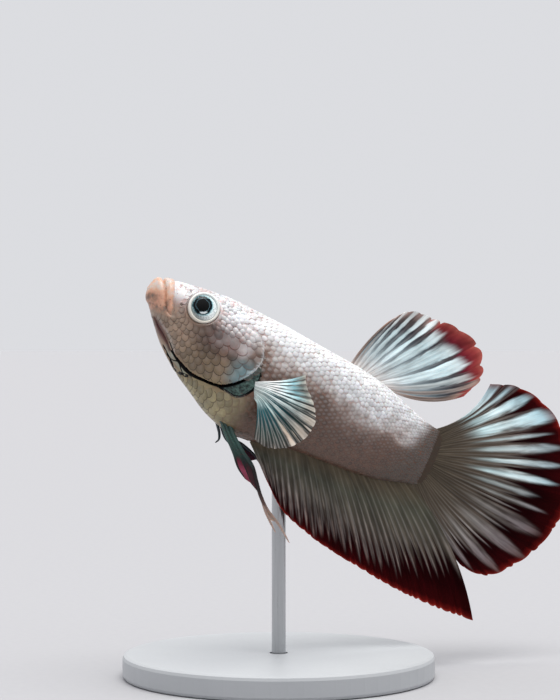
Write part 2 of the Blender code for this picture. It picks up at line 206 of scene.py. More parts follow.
def section(a, angle):
    """(q, h) of the body at a, angle 0 at the back and pi at the belly, growing to the right."""
    back, belly, width, middle, square = station(a)
    across, up = np.sin(angle), np.cos(angle)
    power = 2 / np.where(up > 0, TOP_SQUARE, square)
    reach = np.where(up > 0, back - middle, middle - belly)
    q = width * np.sign(across) * abs(across) ** power
    return q, middle + reach * np.sign(up) * abs(up) ** power


def half_width_at(a, h):
    """How far the body's side is from the middle at a and height h."""
    back, belly, width, middle, square = station(a)
    power = np.where(h > middle, TOP_SQUARE, square)
    share = (h - middle) / np.where(h > middle, back - middle, belly - middle)
    return width * np.clip(1 - abs(share) ** power, 0, 1) ** (1 / power)


print("the body is", round(float(np.ptp(BODY[:, 1:3])), 1), "mm deep")

# %% [markdown]
# ## Lines on the head
#
# What makes a fish's head more than a cone is a handful of lines: the mouth, the fold behind the upper
# lip, the slit under the jaw, the small folds of the throat, and above all the free edge of the gill cover
# with the soft skin beneath it. They could be sculpted one by one. Here each is a short list of (a, h)
# points seen from the side. near_line() says how far every point of the skin is from such a line, and on
# which side of it, and that is enough to press grooves, raise edges and paint along them.

# %% Lines
MOUTH = [(1.15, 2.45), (1.7, 1.3), (2.15, 0.4), (2.65, -0.7), (3.3, -1.75), (3.9, -2.15), (4.5, -2.0)]
LIP_FOLD = [(2.75, 2.8), (3.05, 1.7), (3.4, 0.4), (3.8, -0.9), (4.3, -2.1)]
CHIN_FOLD = [(0.7, -1.35), (1.4, -1.6), (2.2, -1.8), (3.2, -2.3)]
JAW_SLIT = [(1.9, -2.6), (2.6, -3.2), (3.4, -3.95), (4.3, -4.65), (5.1, -5.3), (5.8, -6.0)]
JAW_LINE = [(4.9, -4.7), (5.6, -5.4), (6.4, -6.15), (7.3, -6.85)]
THROAT_GAP = [(4.9, -5.7), (5.9, -6.5), (6.7, -7.1), (7.5, -7.7), (8.3, -8.0), (9.6, -8.15)]
THROAT_FOLDS = [[(6.2, -6.7), (6.8, -6.95), (7.4, -6.95)], [(7.6, -7.1), (8.0, -7.5), (8.6, -8.0)]]
GILL_EDGE = [
    (6.0, -5.95), (6.9, -6.45), (8.2, -7.05), (9.5, -7.55), (10.9, -7.72), (12.2, -7.75), (13.3, -7.55),
    (14.2, -6.95), (15.4, -5.6), (16.2, -4.0), (16.4, -2.5), (16.1, -1.4), (15.4, -0.4), (14.2, 0.4),
    (13.0, 0.6),
]
GILL_SKIN = [
    (12.6, -7.95), (14.2, -8.0), (15.5, -8.05), (16.15, -7.65), (16.6, -7.0), (16.95, -6.2), (17.05, -5.3),
    (17.0, -4.5), (16.8, -3.8),
]
NOSTRILS = [(3.65, 2.1), (4.25, 2.05), (5.0, 1.9), (4.6, -0.45)]


def on_side(line, steps=60):
    """A line on the fish's side, as (a, |q|, h) points."""
    path = curve_through(line, np.linspace(0, 1, steps))
    return np.stack([path[:, 0], half_width_at(path[:, 0], path[:, 1]), path[:, 1]], axis=1)


def near_line(points, line):
    """Distance of (a, q, h) points to a line, positive on its left seen from the side, and share along it."""
    points = np.stack([points[:, 0], abs(points[:, 1]), points[:, 2]], axis=1)
    path = on_side(line)
    best = np.full(len(points), np.inf)
    signed = np.zeros(len(points))
    share = np.zeros(len(points))
    for k, (start, end) in enumerate(zip(path, path[1:])):
        along = end - start
        offset = points - start
        t = np.clip(offset @ along / (along @ along), 0, 1)
        gap = np.linalg.norm(offset - t[:, None] * along, axis=1)
        closer = gap < best
        left = along[0] * offset[:, 2] - along[2] * offset[:, 0]
        best = np.where(closer, gap, best)
        signed = np.where(closer, gap * np.where(left > 0, 1, -1), signed)
        share = np.where(closer, (k + t) / (len(path) - 1), share)
    return signed, share


print("the gill edge is drawn with", len(GILL_EDGE), "points")

# %% [markdown]
# ## Markings
#
# Skin and scales have to carry the same markings, or the fish looks patched. A painted picture could do
# it, but it would blur close by. So the markings are worked out once, as functions of the place on the
# body, and stored on every piece as named values from 0 to 1, which the materials read later. Tone says
# how light a place is, from belly to back: partly the fish's own pale back and partly painted light and
# shade, lighter high up where the light falls from above. One more value says how pale the middles of the
# scales are, partly their silver and partly a painted highlight. Lip is the orange flesh of the mouth, slit
# the dark red fold under the jaw, edge the black lines of gill and throat, which are painted shade in the
# gaps under the gill cover and at the throat and thin dark lines along the jaw, the throat folds and the
# skin under the cover, membrane the teal skin below the gill cover, throat the grey skin between the folds
# there, and glint a painted highlight on the rim of the cover and beside the jaw slit. Another value lays
# painted shade on the cheek below the eye. Jaw, blue, breast, tail and tail_root tint those places, and
# head says where the head's own colours and scales are used.

# %% Marking helpers
GAP_HALF = ([0, 0.1, 0.16, 0.3, 0.6, 0.7, 0.76], [0.12, 0.28, 0.33, 0.19, 0.17, 0.08, 0.001])
SLIT_WIDTH = ([0, 0.2, 0.4, 0.6, 0.8, 1], [0.2, 0.5, 1.0, 0.7, 0.35, 0.22])


def bump(distance, width):
    """1 on a line, falling smoothly to 0 at about twice its width."""
    return np.exp(-((distance / width) ** 2))


print("a mark is at", round(float(bump(1.0, 1.0)), 2), "of its strength one width away from its line")

# %% Distances on the head
def head_fields(points):
    """Distances to the head's lines for (a, q, h) points, each with its share along the line."""
    lines = {"mouth": MOUTH, "fold": LIP_FOLD, "chin": CHIN_FOLD, "slit": JAW_SLIT}
    lines |= {"jaw": JAW_LINE, "throat": THROAT_GAP, "gill": GILL_EDGE, "under": GILL_SKIN}
    lines |= {"fold_1": THROAT_FOLDS[0], "fold_2": THROAT_FOLDS[1]}
    fields = {name: near_line(points, line) for name, line in lines.items()}
    from_eye = np.hypot(points[:, 0] - EYE_AT[0], points[:, 2] - EYE_AT[2])
    fields["eye"] = np.where(abs(points[:, 1]) > 1.0, from_eye, 9.0)  # the forehead is far from both eyes
    return fields


def black_lines(a, h, fields):
    """Distance to the nearest black line, in that line's own half widths: painted shade in the gill and
    throat gaps, and thin dark lines along the jaw, the throat folds and the skin under the gill cover.
    """
    gill, gill_share = fields["gill"]
    under, under_share = fields["under"]
    jaw, jaw_share = fields["jaw"]
    gap_half = np.interp(gill_share, *GAP_HALF)
    under_half = 0.001 + 0.16 * ease((under_share - 0.02) / 0.1) * ease((1.0 - under_share) / 0.08)
    jaw_half = 0.001 + 0.09 * ease(jaw_share / 0.3)
    crack = np.sin(5.1 * a + 2.3 * h) * np.sin(3.7 * h - 1.9 * a)
    ratios = [
        abs(gill + 1.2 * gap_half) / gap_half,
        abs(under) / under_half,
        abs(fields["throat"][0] + 0.08 * crack) / (0.22 + 0.06 * crack),
        abs(jaw) / jaw_half,
        np.minimum(abs(fields["fold_1"][0]), abs(fields["fold_2"][0])) / 0.09,
    ]
    return np.minimum.reduce(ratios)


def painted_light_height(a, h):
    """Height as painted light and shade have it: places painted lighter than their height would say are
    raised, those painted in shade are lowered.
    """
    # Painted light behind the eye and on the shoulder; painted shade behind the gill cover and under the tail
    # stalk.
    behind_eye = ease((a - 8.6) / 2.0) * ease((17.6 - a) / 3.4) * ease((h + 5.2) / 2.6)
    behind_gills = ease((a - 13.6) / 1.8) * ease((17.6 - a) / 1.6) * ease((2.6 - h) / 3.0)
    shoulder = ease((a - 16.8) / 1.0) * ease((22.0 - a) / 3.0) * ease((-0.8 - h) / 1.2)
    under_stalk = ease((a - 33.0) / 5.0) * ease((-1.5 - h) / 2.0)
    height = h + 2.6 * behind_eye - 2.0 * behind_gills + 0.7 * shoulder - 2.7 * under_stalk
    # Painted light on the rear of the upper flank, and painted shade on the tail stalk.
    height += 0.6 * ease((a - 25.5) / 4.0)
    height -= (1.1 + 0.6 * np.clip(h + 0.5, -1, 2)) * ease((a - 33.5) / 3.5)
    return height


print("the cheek is shaded as if it were", round(float(painted_light_height(11.0, 0.0)), 1), "mm higher")

# %% Markings
LOWEST, TONE_SPAN = -11.5, 16.0  # the belly's height, and from there to the back's


def markings(points, fields):
    """Named values from 0 to 1 for (a, q, h) points."""
    a, h = points[:, 0], points[:, 2]
    gill, gill_share = fields["gill"]
    slit, slit_share = fields["slit"]
    brow = 0.08 * ease((6.5 - a) / 2) * ease((h + 1.0) / 1.5)
    lip = ease((0.15 - fields["fold"][0]) / 0.55) * ease((h + 2.9) / 1.6) * ease((4.6 - a) / 0.6)
    slit_line = bump(slit + 0.05, np.interp(slit_share, *SLIT_WIDTH))
    gill_skin = ease((-gill - 0.10) / 0.15) * ease((fields["under"][0] + 0.12) / 0.12)
    blue = ease((a - 12.4) / 2.4) * ease((17.0 - a) / 0.8) * ease((h + 7.6) / 1.4) * ease((-2.6 - h) / 2.2)
    # Painted shade on the cheek below the eye.
    shade_under_eye = bump(np.hypot((a - 9.3) / 3.8, (h + 2.2) / 2.0), 1.0)
    # How pale the scales' middles are: partly their silver and partly a painted highlight, stronger high up.
    pearl_and_highlight = np.interp(h, [-9, -5, -1, 2], [0.05, 0.30, 0.8, 1])
    # A painted highlight along the rim of the gill cover, and a weaker one beside the jaw slit.
    cover_rim = bump(gill - 0.10, 0.09) * np.interp(gill_share, [0.5, 0.62, 0.8, 0.95], [0, 1, 1, 0.2])
    slit_rim = 0.3 * bump(slit - 0.75, 0.2) * ease(slit_share / 0.3)
    return {
        "tone": np.clip((painted_light_height(a, h) - LOWEST) / TONE_SPAN + brow, 0, 1),
        "pearl_and_highlight": pearl_and_highlight * np.interp(a, [12, 22, 32, 43], [1, 0.9, 0.55, 0.2]),
        "jaw": ease((9.5 - a) / 4.0) * ease((h + 7.5) / 2.5) * ease((0.5 - h) / 2.5),
        "shade_under_eye": shade_under_eye * (fields["eye"] > 1.8),
        "tail": ease((a - 39.4 - 0.45 * h) / 3.6),
        "tail_root": ease((a - 42.4) / 1.8),
        "head": ease((17.8 - a) / 5.5),
        "breast": ease((-6.8 - h) / 2.2) * ease((18.5 - a) / 4.0),
        "blue": blue * (gill > -0.3),
        "lip": lip,
        "slit": slit_line * np.interp(slit_share, [0, 0.1, 0.3, 1], [0, 0.7, 1, 0.8]),
        "edge": 1 - np.clip(black_lines(a, h, fields) / 2, 0, 1),
        "membrane": gill_skin * (gill_share > 0.36) * (gill_share < 0.74),
        "throat": ease(-gill / 0.2) * ease((gill + 1.3) / 0.4) * ease((9.4 - a) / 0.8),
        "glint": cover_rim + slit_rim,
    }


middle_of_back_and_belly = np.array([[20.0, 0.0, 4.0], [20.0, 0.0, -11.3]])
tones = markings(middle_of_back_and_belly, head_fields(middle_of_back_and_belly))["tone"]
print("tone of the back and of the belly:", np.round(tones, 2))

# %% [markdown]
# ## Where things are and how far they stand out
#
# The same lines also say where scales grow and where the skin is bare, and how deep its grooves are. The
# skin could be sculpted by hand, but a sum of small ridges and grooves along the lines gives the same form
# each time.

# %% Zones and relief
SCALES_FROM, SCALES_TO = 12.4, 44.9  # where body scales take over from head plates, and where they end
BREAST_TOP = -7.9  # plates grow again below this height, in front of the belly fins


def zones(points, fields):
    """Where body scales grow, and where head plates grow, for (a, q, h) points."""
    marks = markings(points, fields)
    a, h = points[:, 0], points[:, 2]
    gill, gill_share = fields["gill"]
    bare = (marks["lip"] > 0.2) | (marks["slit"] > 0.2) | (marks["membrane"] > 0.15) | (marks["edge"] > 0.5)
    bare |= (gill < 0.1) & (gill > -1.2) & (a < 9.2)
    bare |= (fields["eye"] < 2.5) | (a < 1.4) | ((a < 4.6) & (h > -1.9))
    for at, up in NOSTRILS:
        bare |= np.hypot(a - at, h - up) < 0.35
    trunk = (a > SCALES_FROM) & (a < SCALES_TO)
    nape = (h > 0.9) & trunk
    breast = (h < BREAST_TOP) & (a < 17.0) & (gill < -1.0)
    behind = (gill < -0.3) & trunk & ~breast & (h < 1.2)
    cover = (a < 16.4) & (gill > np.interp(gill_share, [0, 0.5, 0.62, 1], [0.7, 0.6, 0.12, 0.12])) & ~nape
    front = (a < SCALES_FROM) & (h > 0.5)
    return (nape | behind) & ~bare, (cover | front | breast) & ~bare & ~nape


SOCKET_RADIUS, SOCKET_DEPTH = 2.0, 1.2
SKIN_SUNK = 0.06  # the bare skin lies this far inside the body's measured shape


def relief(points, fields):
    """How far the skin stands out from the plain body, in millimetres."""
    a, h = points[:, 0], points[:, 2]
    gill, gill_share = fields["gill"]
    mouth, mouth_share = fields["mouth"]
    fold, fold_share = fields["fold"]
    chin, chin_share = fields["chin"]
    slit, slit_share = fields["slit"]
    under = fields["under"][0]
    eye = fields["eye"]
    fading = np.interp(mouth_share, [0, 0.7, 1], [1, 0.8, 0.15])
    out = fading * (0.16 * bump(abs(mouth) - 0.62, 0.42) - 0.32 * bump(mouth, 0.13))
    fold_depth = 0.20 * bump(fold, 0.13) * np.interp(fold_share, [0, 0.8, 1], [1, 1, 0.3])
    out += 0.10 * bump(fold + 0.5, 0.4) - fold_depth
    out -= 0.12 * bump(chin, 0.13) * np.interp(chin_share, [0, 0.5, 1], [1, 0.8, 0.1])
    out -= 0.08 * bump(fields["jaw"][0], 0.10) + 0.15 * bump(fields["throat"][0], 0.2)
    out -= 0.24 * bump(slit, 0.12) * np.interp(slit_share, [0, 0.15, 1], [0, 1, 0.8])
    strength = np.interp(gill_share, [0, 0.12, 0.3, 0.62, 0.75, 1], [0.2, 0.8, 1, 0.9, 0.45, 0.1])
    cover_rise = 0.20 * np.exp(-np.clip(gill, 0, None) / 1.6) * (gill > 0)
    behind_it = -0.22 * np.exp(-np.clip(-gill, 0, None) / 0.9) * (gill <= 0)
    out += strength * (cover_rise + behind_it - 0.30 * bump(gill + 0.12, 0.11))
    out += 0.10 * bump(under - 0.15, 0.14) - 0.12 * bump(under + 0.05, 0.07)
    bowl = -SOCKET_DEPTH * (1 - (eye / SOCKET_RADIUS) ** 2) - 0.15
    socket = np.where(eye < SOCKET_RADIUS, bowl, 0)
    out += socket + 0.14 * bump(eye - 2.32, 0.22) - 0.12 * bump(eye - SOCKET_RADIUS, 0.08)
    for at, up in NOSTRILS:
        away = np.hypot(a - at, h - up)
        out += 0.07 * bump(away - 0.26, 0.09) - 0.28 * bump(away, 0.13)
    return out - SKIN_SUNK


print("the eye sockets are pressed in by", SOCKET_DEPTH, "mm")

# %% [markdown]
# ## Making meshes
#
# Blender can make a mesh from lists of points and faces, and each point may carry extra named values for
# the materials to read. One helper does that for all pieces. Each piece also gets a map named OFBake,
# which unwraps it by its own shape: for the skin, distance along the body by way round it.

# %% Mesh helper
SHARP_FROM = 50.0  # degrees between two faces from which their edge stays sharp


def quads_between(index, after):
    """Quads between a grid of point numbers and the grid of their neighbours in the next column."""
    return np.stack([index[:-1], index[1:], after[1:], after[:-1]], axis=2).reshape(-1, 4)


def inside(flat):
    """Flat places from 0 to 1, kept a hundredth away from the edges of the map."""
    return flat * 0.98 + 0.01


def add_piece(name, points, faces, values, flat):
    """A mesh object from world points, faces, named point values and a flat (u, v) for every face corner."""
    mesh = bpy.data.meshes.new(name)
    mesh.from_pydata(points.tolist(), [], faces)
    for key, value in values.items():
        kind, field = ("FLOAT_VECTOR", "vector") if np.ndim(value) == 2 else ("FLOAT", "value")
        layer = mesh.attributes.new(key, kind, "POINT")
        layer.data.foreach_set(field, np.ascontiguousarray(value, dtype=np.float32).ravel())
    layer = mesh.uv_layers.new(name="OFBake")
    layer.data.foreach_set("uv", np.ascontiguousarray(flat, dtype=np.float32).ravel())
    mesh.shade_smooth()
    mesh.set_sharp_from_angle(angle=math.radians(SHARP_FROM))
    piece = bpy.data.objects.new(name, mesh)
    bpy.context.scene.collection.objects.link(piece)
    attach(piece, "root")
    return piece


print("edges stay sharp where two faces turn more than", SHARP_FROM, "degrees")

# %% [markdown]
# ## The skin
#
# The fish has one unbroken skin from lips to tail. It is a grid: rows along the body, close together on the
# head where the detail is, and columns around it. The relief pushes each point in or out along the body's
# own outward direction, which makes the lips, the folds, the nostrils, the eye sockets and the step at the
# gill cover. The grid is kept, because the scales are laid on it afterwards.

# %% Skin grid
HEAD_ROWS, BODY_ROWS, TAIL_ROWS, AROUND = 220, 72, 8, 320
HEAD_BACK = 17.4  # the close rows of the head run to here
TAIL_END = 1.5  # the thin wedge that the tail fin grows from
SKIN_END = BODY_LENGTH + TAIL_END
STALK_NARROWING = ([40.5, 43.5, BODY_LENGTH, SKIN_END], [1, 0.86, 0.5, 0.1])

row_a = np.concatenate(
    [
        HEAD_BACK * np.linspace(0.006, 1, HEAD_ROWS) ** 1.3,
        np.linspace(HEAD_BACK, BODY_LENGTH, BODY_ROWS + 1)[1:],
        BODY_LENGTH + TAIL_END * np.linspace(0, 1, TAIL_ROWS + 1)[1:],
    ]
)
column_angle = np.arange(AROUND) / AROUND * 2 * np.pi


def outward(points):
    """Directions out of the body at the points of a grid that closes on itself around."""
    along = np.gradient(points, axis=0)
    around = np.roll(points, -1, axis=1) - np.roll(points, 1, axis=1)
    out = np.cross(along, around)
    return out / np.maximum(np.linalg.norm(out, axis=2, keepdims=True), 1e-9)


grid_q, grid_h = section(row_a[:, None], column_angle[None, :])
grid_q = grid_q * np.interp(row_a, *STALK_NARROWING)[:, None]
grid_h = grid_h * (1 - 0.22 * np.clip((row_a - BODY_LENGTH) / TAIL_END, 0, 1) ** 2)[:, None]
plain = np.stack([np.broadcast_to(row_a[:, None], grid_q.shape), grid_q, grid_h], axis=2)
plain_out = outward(plain)
flat_plain = plain.reshape(-1, 3)
skin_fields = head_fields(flat_plain)
skin_marks = markings(flat_plain, skin_fields)
skin_marks["scaled"] = np.logical_or(*zones(flat_plain, skin_fields)) * 1.0
raised = relief(flat_plain, skin_fields).reshape(grid_q.shape)
skin_grid = plain + plain_out * raised[:, :, None]
print("skin grid", skin_grid.shape[:2], "relief", round(raised.min(), 2), "to", round(raised.max(), 2), "mm")

# %% Skin faces and their unwrap
def skin_faces():
    """Quads between neighbouring rows, with a fan at the snout and one at the tail."""
    rows = len(row_a)
    index = np.arange(rows * AROUND).reshape(rows, AROUND)
    following = np.roll(index, -1, axis=1)
    quads = quads_between(index, following)
    snout, tail = rows * AROUND, rows * AROUND + 1
    front = np.stack([np.full(AROUND, snout), index[0], following[0]], axis=1)
    back = np.stack([np.full(AROUND, tail), following[-1], index[-1]], axis=1)
    return quads, front, back


def skin_flat(quads, front, back, ends):
    """The unwrap: distance along the body by way round it. The last two points are its ends."""
    u = np.concatenate([np.repeat(row_a, AROUND), ends[:, 0]]) / SKIN_END
    v = np.concatenate([np.tile(np.arange(AROUND), len(row_a)) / AROUND, [0, 0]])
    corners = np.concatenate([quads.ravel(), front.ravel(), back.ravel()])
    flat = np.stack([u[corners], v[corners]], axis=1)
    column = np.concatenate([quads[:, 0], front[:, 1], back[:, 2]]) % AROUND
    count = np.concatenate([np.full(len(quads), 4), np.full(len(front), 3), np.full(len(back), 3)])
    start = np.repeat(column / AROUND, count)
    flat[:, 1] = np.where(flat[:, 1] < start - 1e-6, flat[:, 1] + 1, flat[:, 1])
    poles = corners >= len(row_a) * AROUND
    flat[poles, 1] = start[poles] + 0.5 / AROUND
    return inside(flat)


quads, front, back = skin_faces()
print("the skin's grid gives", len(quads), "quads, and its ends", len(front) + len(back), "triangles")

# %% Skin piece
ends = np.array([[0.0, 0.0, 0.4], [SKIN_END, 0.0, -0.6]])
skin_points = np.concatenate([skin_grid.reshape(-1, 3), ends])
skin_values = {name: np.concatenate([value, [value[0], 0]]) for name, value in skin_marks.items()}
skin_values["place"] = np.concatenate([flat_plain, ends])
skin = add_piece(
    "skin",
    to_world(bend(*skin_points.T)),
    quads.tolist() + front.tolist() + back.tolist(),
    skin_values,
    skin_flat(quads, front, back, ends),
)
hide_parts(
    "head", "lower_jaw", "upper_jaw", "gill_cover_left", "gill_cover_right",
    "trunk_front", "trunk_rear", "tail_stalk",
)
print("skin has", len(skin.data.polygons), "faces")

# %% [markdown]
# ## Colours and nodes
#
# Colours are written as hex values, the way a paint chart gives them, and one function turns them to the
# linear values that the renderer wants. Materials are small networks of nodes. They could be drawn by hand
# in the shader editor. Here another function adds a node, sets it, and fills its inputs, so that a network
# reads from top to bottom. Patterns are sized by how many fit in a millimetre. A Mix node takes its share at
# 0, two numbers at 2 and 3, or two colours at 6 and 7. A Map Range node takes a value at 0, its range at 1
# and 2, and the range it becomes at 3 and 4.

# %% Colour and node helpers
COLOURS = {"data_type": "RGBA"}  # a Mix node that mixes colours
SMOOTH = {"interpolation_type": "SMOOTHSTEP"}  # a Map Range node that starts and ends gently


def paint(code):
    """A hex colour as linear red, green, blue and alpha."""
    parts = [int(code[k : k + 2], 16) / 255 for k in (0, 2, 4)]
    return (*[p / 12.92 if p <= 0.04045 else ((p + 0.055) / 1.055) ** 2.4 for p in parts], 1.0)


def node(tree, kind, inputs=(), stops=(), **settings):
    """Adds a node, sets it up, and gives each input a value, a socket or a whole node."""
    made = tree.nodes.new("ShaderNode" + kind)
    for name, value in settings.items():
        setattr(made, name, value)
    for k, (at, code) in enumerate(stops):
        stop = made.color_ramp.elements[k] if k < 2 else made.color_ramp.elements.new(at)
        stop.position = at
        stop.color = paint(code)
    for name, value in dict(inputs).items():
        socket = made.inputs[name]
        if isinstance(value, bpy.types.Node):
            value = next(output for output in value.outputs if output.enabled)
        if isinstance(value, bpy.types.NodeSocket):
            tree.links.new(value, socket)
        else:
            socket.default_value = value
    return made


def new_material(name, **constants):
    """A material with its constants on the surface shader's own sockets."""
    made = bpy.data.materials.new(name)
    made.use_nodes = True
    surface = made.node_tree.nodes["Principled BSDF"]
    for socket, value in constants.items():
        surface.inputs[socket.replace("_", " ")].default_value = value
    return made, made.node_tree, surface


def finish(tree, surface, colour, roughness, height, depth, **more):
    """Joins colour, roughness, a bump of a depth in millimetres, and more, to the surface shader."""
    bumped = node(tree, "Bump", {"Height": height, "Strength": 1.0, "Distance": depth * MM})
    joined = {"Base_Color": colour, "Roughness": roughness, "Normal": bumped} | more
    for name, source in joined.items():
        socket = next(output for output in source.outputs if output.enabled)
        tree.links.new(socket, surface.inputs[name.replace("_", " ")])


def dress(pieces, material):
    """Puts a material on pieces."""
    for piece in pieces:
        piece.data.materials.append(material)
    print(material.name, "has", len(material.node_tree.nodes), "nodes")


print("a mid grey is", round(paint("808080")[0], 3), "in linear light")

# %% [markdown]
# ## Body colours
#
# The living fish is covered in clear slime over pale, slightly pink scales. Its back is almost white, its
# flanks and belly go to a warm grey brown, which is partly their own colour and partly painted shade from
# the light above, the breast is a sandy olive, and the gill cover has a blue sheen at its lower rear corner.
# All of that depends on the place on the body, so one network of nodes builds it from the stored values, and
# both the skin and the scales use it.

# %% Body colours from dark to light
# How many fit in a millimetre: pale and dark patches, the grains of the skin and the lips, and rosy spots.
PATCHES, GRAIN, LIP_GRAIN, ROSY = 0.45, 3.2, 0.9, 0.8
MARK_NAMES = (
    "tone", "pearl_and_highlight", "head", "shade_under_eye", "jaw", "tail", "tail_root", "breast",
    "blue", "lip", "membrane", "throat", "slit", "glint", "edge", "scaled",
)
# Both ramps go by tone, dark at the belly and light at the back; their darker colours are partly painted
# shade.
FLANK_STOPS = [
    (0.0, "523a2c"), (0.28, "5a4031"), (0.45, "5f473b"), (0.54, "735e54"), (0.60, "96847c"),
    (0.66, "c8c1bf"), (0.74, "dddde0"), (0.84, "efeff2"), (0.93, "f8f8fa"),
]
HEAD_STOPS = [
    (0.0, "8b7c5f"), (0.32, "846f58"), (0.5, "705a4a"), (0.6, "7b6156"), (0.7, "a89490"),
    (0.82, "d0c9ca"), (0.93, "ececf0"),
]
LIP_STOPS = [(0.30, "75685e"), (0.40, "a37f6c"), (0.52, "ca9880"), (0.66, "d8aa8f"), (0.84, "cfc2ba")]
MEMBRANE_STOPS = [(0.30, "0c1616"), (0.42, "293b37"), (0.60, "425b55"), (0.75, "5c7870")]
print("the flank goes through", len(FLANK_STOPS), "colours and the head through", len(HEAD_STOPS))


# %% Body colour network
def body_colour(tree):
    """The fish's ground colour from its stored markings, with its place and a fine grain."""
    mark = {name: node(tree, "Attribute", attribute_name=name).outputs["Fac"] for name in MARK_NAMES}
    place = node(tree, "Attribute", attribute_name="place").outputs["Vector"]
    patches = node(tree, "TexNoise", {"Vector": place, "Scale": PATCHES, "Detail": 2.0})
    grain = node(tree, "TexNoise", {"Vector": place, "Scale": GRAIN, "Detail": 3.0})
    wander = node(tree, "Math", {0: patches, 1: 0.20, 2: mark["tone"]}, operation="MULTIPLY_ADD")
    tone = node(tree, "Math", {0: wander, 1: 0.10}, operation="SUBTRACT")
    flank = node(tree, "ValToRGB", {"Fac": tone}, FLANK_STOPS)
    head = node(tree, "ValToRGB", {"Fac": tone}, HEAD_STOPS)
    sand = node(tree, "Mix", {0: grain, 6: paint("8a7b58"), 7: paint("b5a77e")}, **COLOURS)
    lip_grain = node(tree, "TexNoise", {"Vector": place, "Scale": LIP_GRAIN, "Detail": 3.0})
    lip_up = node(tree, "Math", {0: mark["tone"], 1: 1.1, 2: -0.74}, operation="MULTIPLY_ADD")
    lip_place = node(tree, "Math", {0: lip_grain, 1: lip_up}, operation="ADD")
    lip = node(tree, "ValToRGB", {"Fac": lip_place}, LIP_STOPS)
    membrane = node(tree, "ValToRGB", {"Fac": grain}, MEMBRANE_STOPS)
    ground = node(tree, "Mix", {0: mark["head"], 6: flank, 7: head}, **COLOURS)
    spot_inputs = {"Vector": place, "Scale": ROSY, "Detail": 3.0, "W": 4.0}
    rosy_spots = node(tree, "TexNoise", spot_inputs, noise_dimensions="4D")
    rosy = node(tree, "MapRange", {0: rosy_spots, 1: 0.50, 2: 0.66, 4: 0.40}, **SMOOTH)
    upper = node(tree, "MapRange", {0: mark["tone"], 1: 0.55, 2: 0.75, 4: mark["head"]})
    rosy_share = node(tree, "Math", {0: rosy, 1: upper}, operation="MULTIPLY")
    ground = node(tree, "Mix", {0: rosy_share, 6: ground, 7: paint("c07f70")}, **COLOURS)
    lip_edge = node(tree, "Math", {0: grain, 1: 1.2, 2: -0.6}, operation="MULTIPLY_ADD")
    lip_shape = node(tree, "Math", {0: mark["lip"], 1: lip_edge}, operation="ADD")
    mark["lip"] = node(tree, "MapRange", {0: lip_shape, 1: 0.2, 2: 0.8}, **SMOOTH)
    mark["edge"] = node(tree, "MapRange", {0: mark["edge"], 1: 0.42, 2: 0.62}, **SMOOTH)
    layers = [
        # Painted shade below the eye.
        ("shade_under_eye", 0.85, paint("443129")),
        ("jaw", 0.6, paint("b79c86")),
        ("tail", 0.98, paint("4b3e34")),
        ("tail_root", 0.9, paint("463b32")),
        ("breast", 0.9, sand),
        ("blue", 0.75, paint("769aa2")),
        ("lip", 1.0, lip),
        ("membrane", 1.0, membrane),
        ("throat", 0.5, paint("9da699")),
        ("slit", 1.0, paint("4a0c10")),
        # Painted highlight on the rim of the gill cover and beside the jaw slit.
        ("glint", 0.8, paint("e6e8e8")),
        # Black lines: painted shade in the gill and throat gaps, and thin dark lines along the folds.
        ("edge", 1.0, paint("020203")),
    ]
    for name, strength, colour in layers:
        share = node(tree, "Math", {0: mark[name], 1: strength}, operation="MULTIPLY")
        ground = node(tree, "Mix", {0: share, 6: ground, 7: colour}, **COLOURS)
    return ground, place, grain, mark


print("body colour reads", len(MARK_NAMES), "markings")

# %% [markdown]
# ## The skin's finish
#
# Where it has no scales, the skin is bare flesh with small dark dots under the slime, and between the
# scales it is a dull red. A painted map could carry that, but it would have to be drawn for both sides.
# Dots that grow from a cell pattern, in patches chosen by noise, cost nothing and stay sharp however near
# one looks.

# %% Skin material
# Slimy skin: a clear wet coat over soft flesh that lets a little light in, so shadows on it stay warm. Its
# dots are half a millimetre apart, in groups a millimetre or so wide, and its pores a sixth of a millimetre.
DOTS, DOT_GROUPS, PORES = 2.1, 0.8, 6.0  # how many fit in a millimetre
slime_skin, tree, surface = new_material(
    "slimy_skin", Coat_Roughness=0.16, Subsurface_Weight=0.12, Subsurface_Scale=0.0006, IOR=1.4
)
ground, place, grain, mark = body_colour(tree)
dots = node(tree, "TexVoronoi", {"Vector": place, "Scale": DOTS, "Randomness": 1.0})
dot_shape = node(tree, "MapRange", {0: dots, 1: 0.20, 2: 0.10}, **SMOOTH)
dot_area = node(tree, "TexNoise", {"Vector": place, "Scale": DOT_GROUPS})
dot_share = node(tree, "MapRange", {0: dot_area, 1: 0.50, 2: 0.58, 4: 0.75}, **SMOOTH)
dot = node(tree, "Math", {0: dot_shape, 1: dot_share}, operation="MULTIPLY")
fleshy = node(tree, "MapRange", {0: mark["tone"], 1: 0.5, 2: 0.8, 3: 0.2, 4: 0.6})
flesh_share = node(tree, "Math", {0: fleshy, 1: mark["scaled"]}, operation="MULTIPLY")
between = node(tree, "Mix", {0: mark["head"], 6: paint("a3705f"), 7: paint("7d4f43")}, **COLOURS)
flesh = node(tree, "Mix", {0: flesh_share, 6: ground, 7: between}, **COLOURS)
speckled = node(tree, "Mix", {0: dot, 6: flesh, 7: paint("3b2a28")}, **COLOURS)
pores = node(tree, "TexNoise", {"Vector": place, "Scale": PORES, "Detail": 4.0})
matt = node(tree, "Math", {0: mark["edge"], 1: mark["tail"]}, operation="MAXIMUM")
wet = node(tree, "MapRange", {0: matt, 3: 0.35, 4: 0.0})
sheen = node(tree, "MapRange", {0: matt, 3: 0.5, 4: 0.15})
gloss = node(tree, "MapRange", {0: grain, 3: 0.30, 4: 0.55})
finish(tree, surface, speckled, gloss, pores, 0.03, Specular_IOR_Level=sheen, Coat_Weight=wet)
dress([skin], slime_skin)

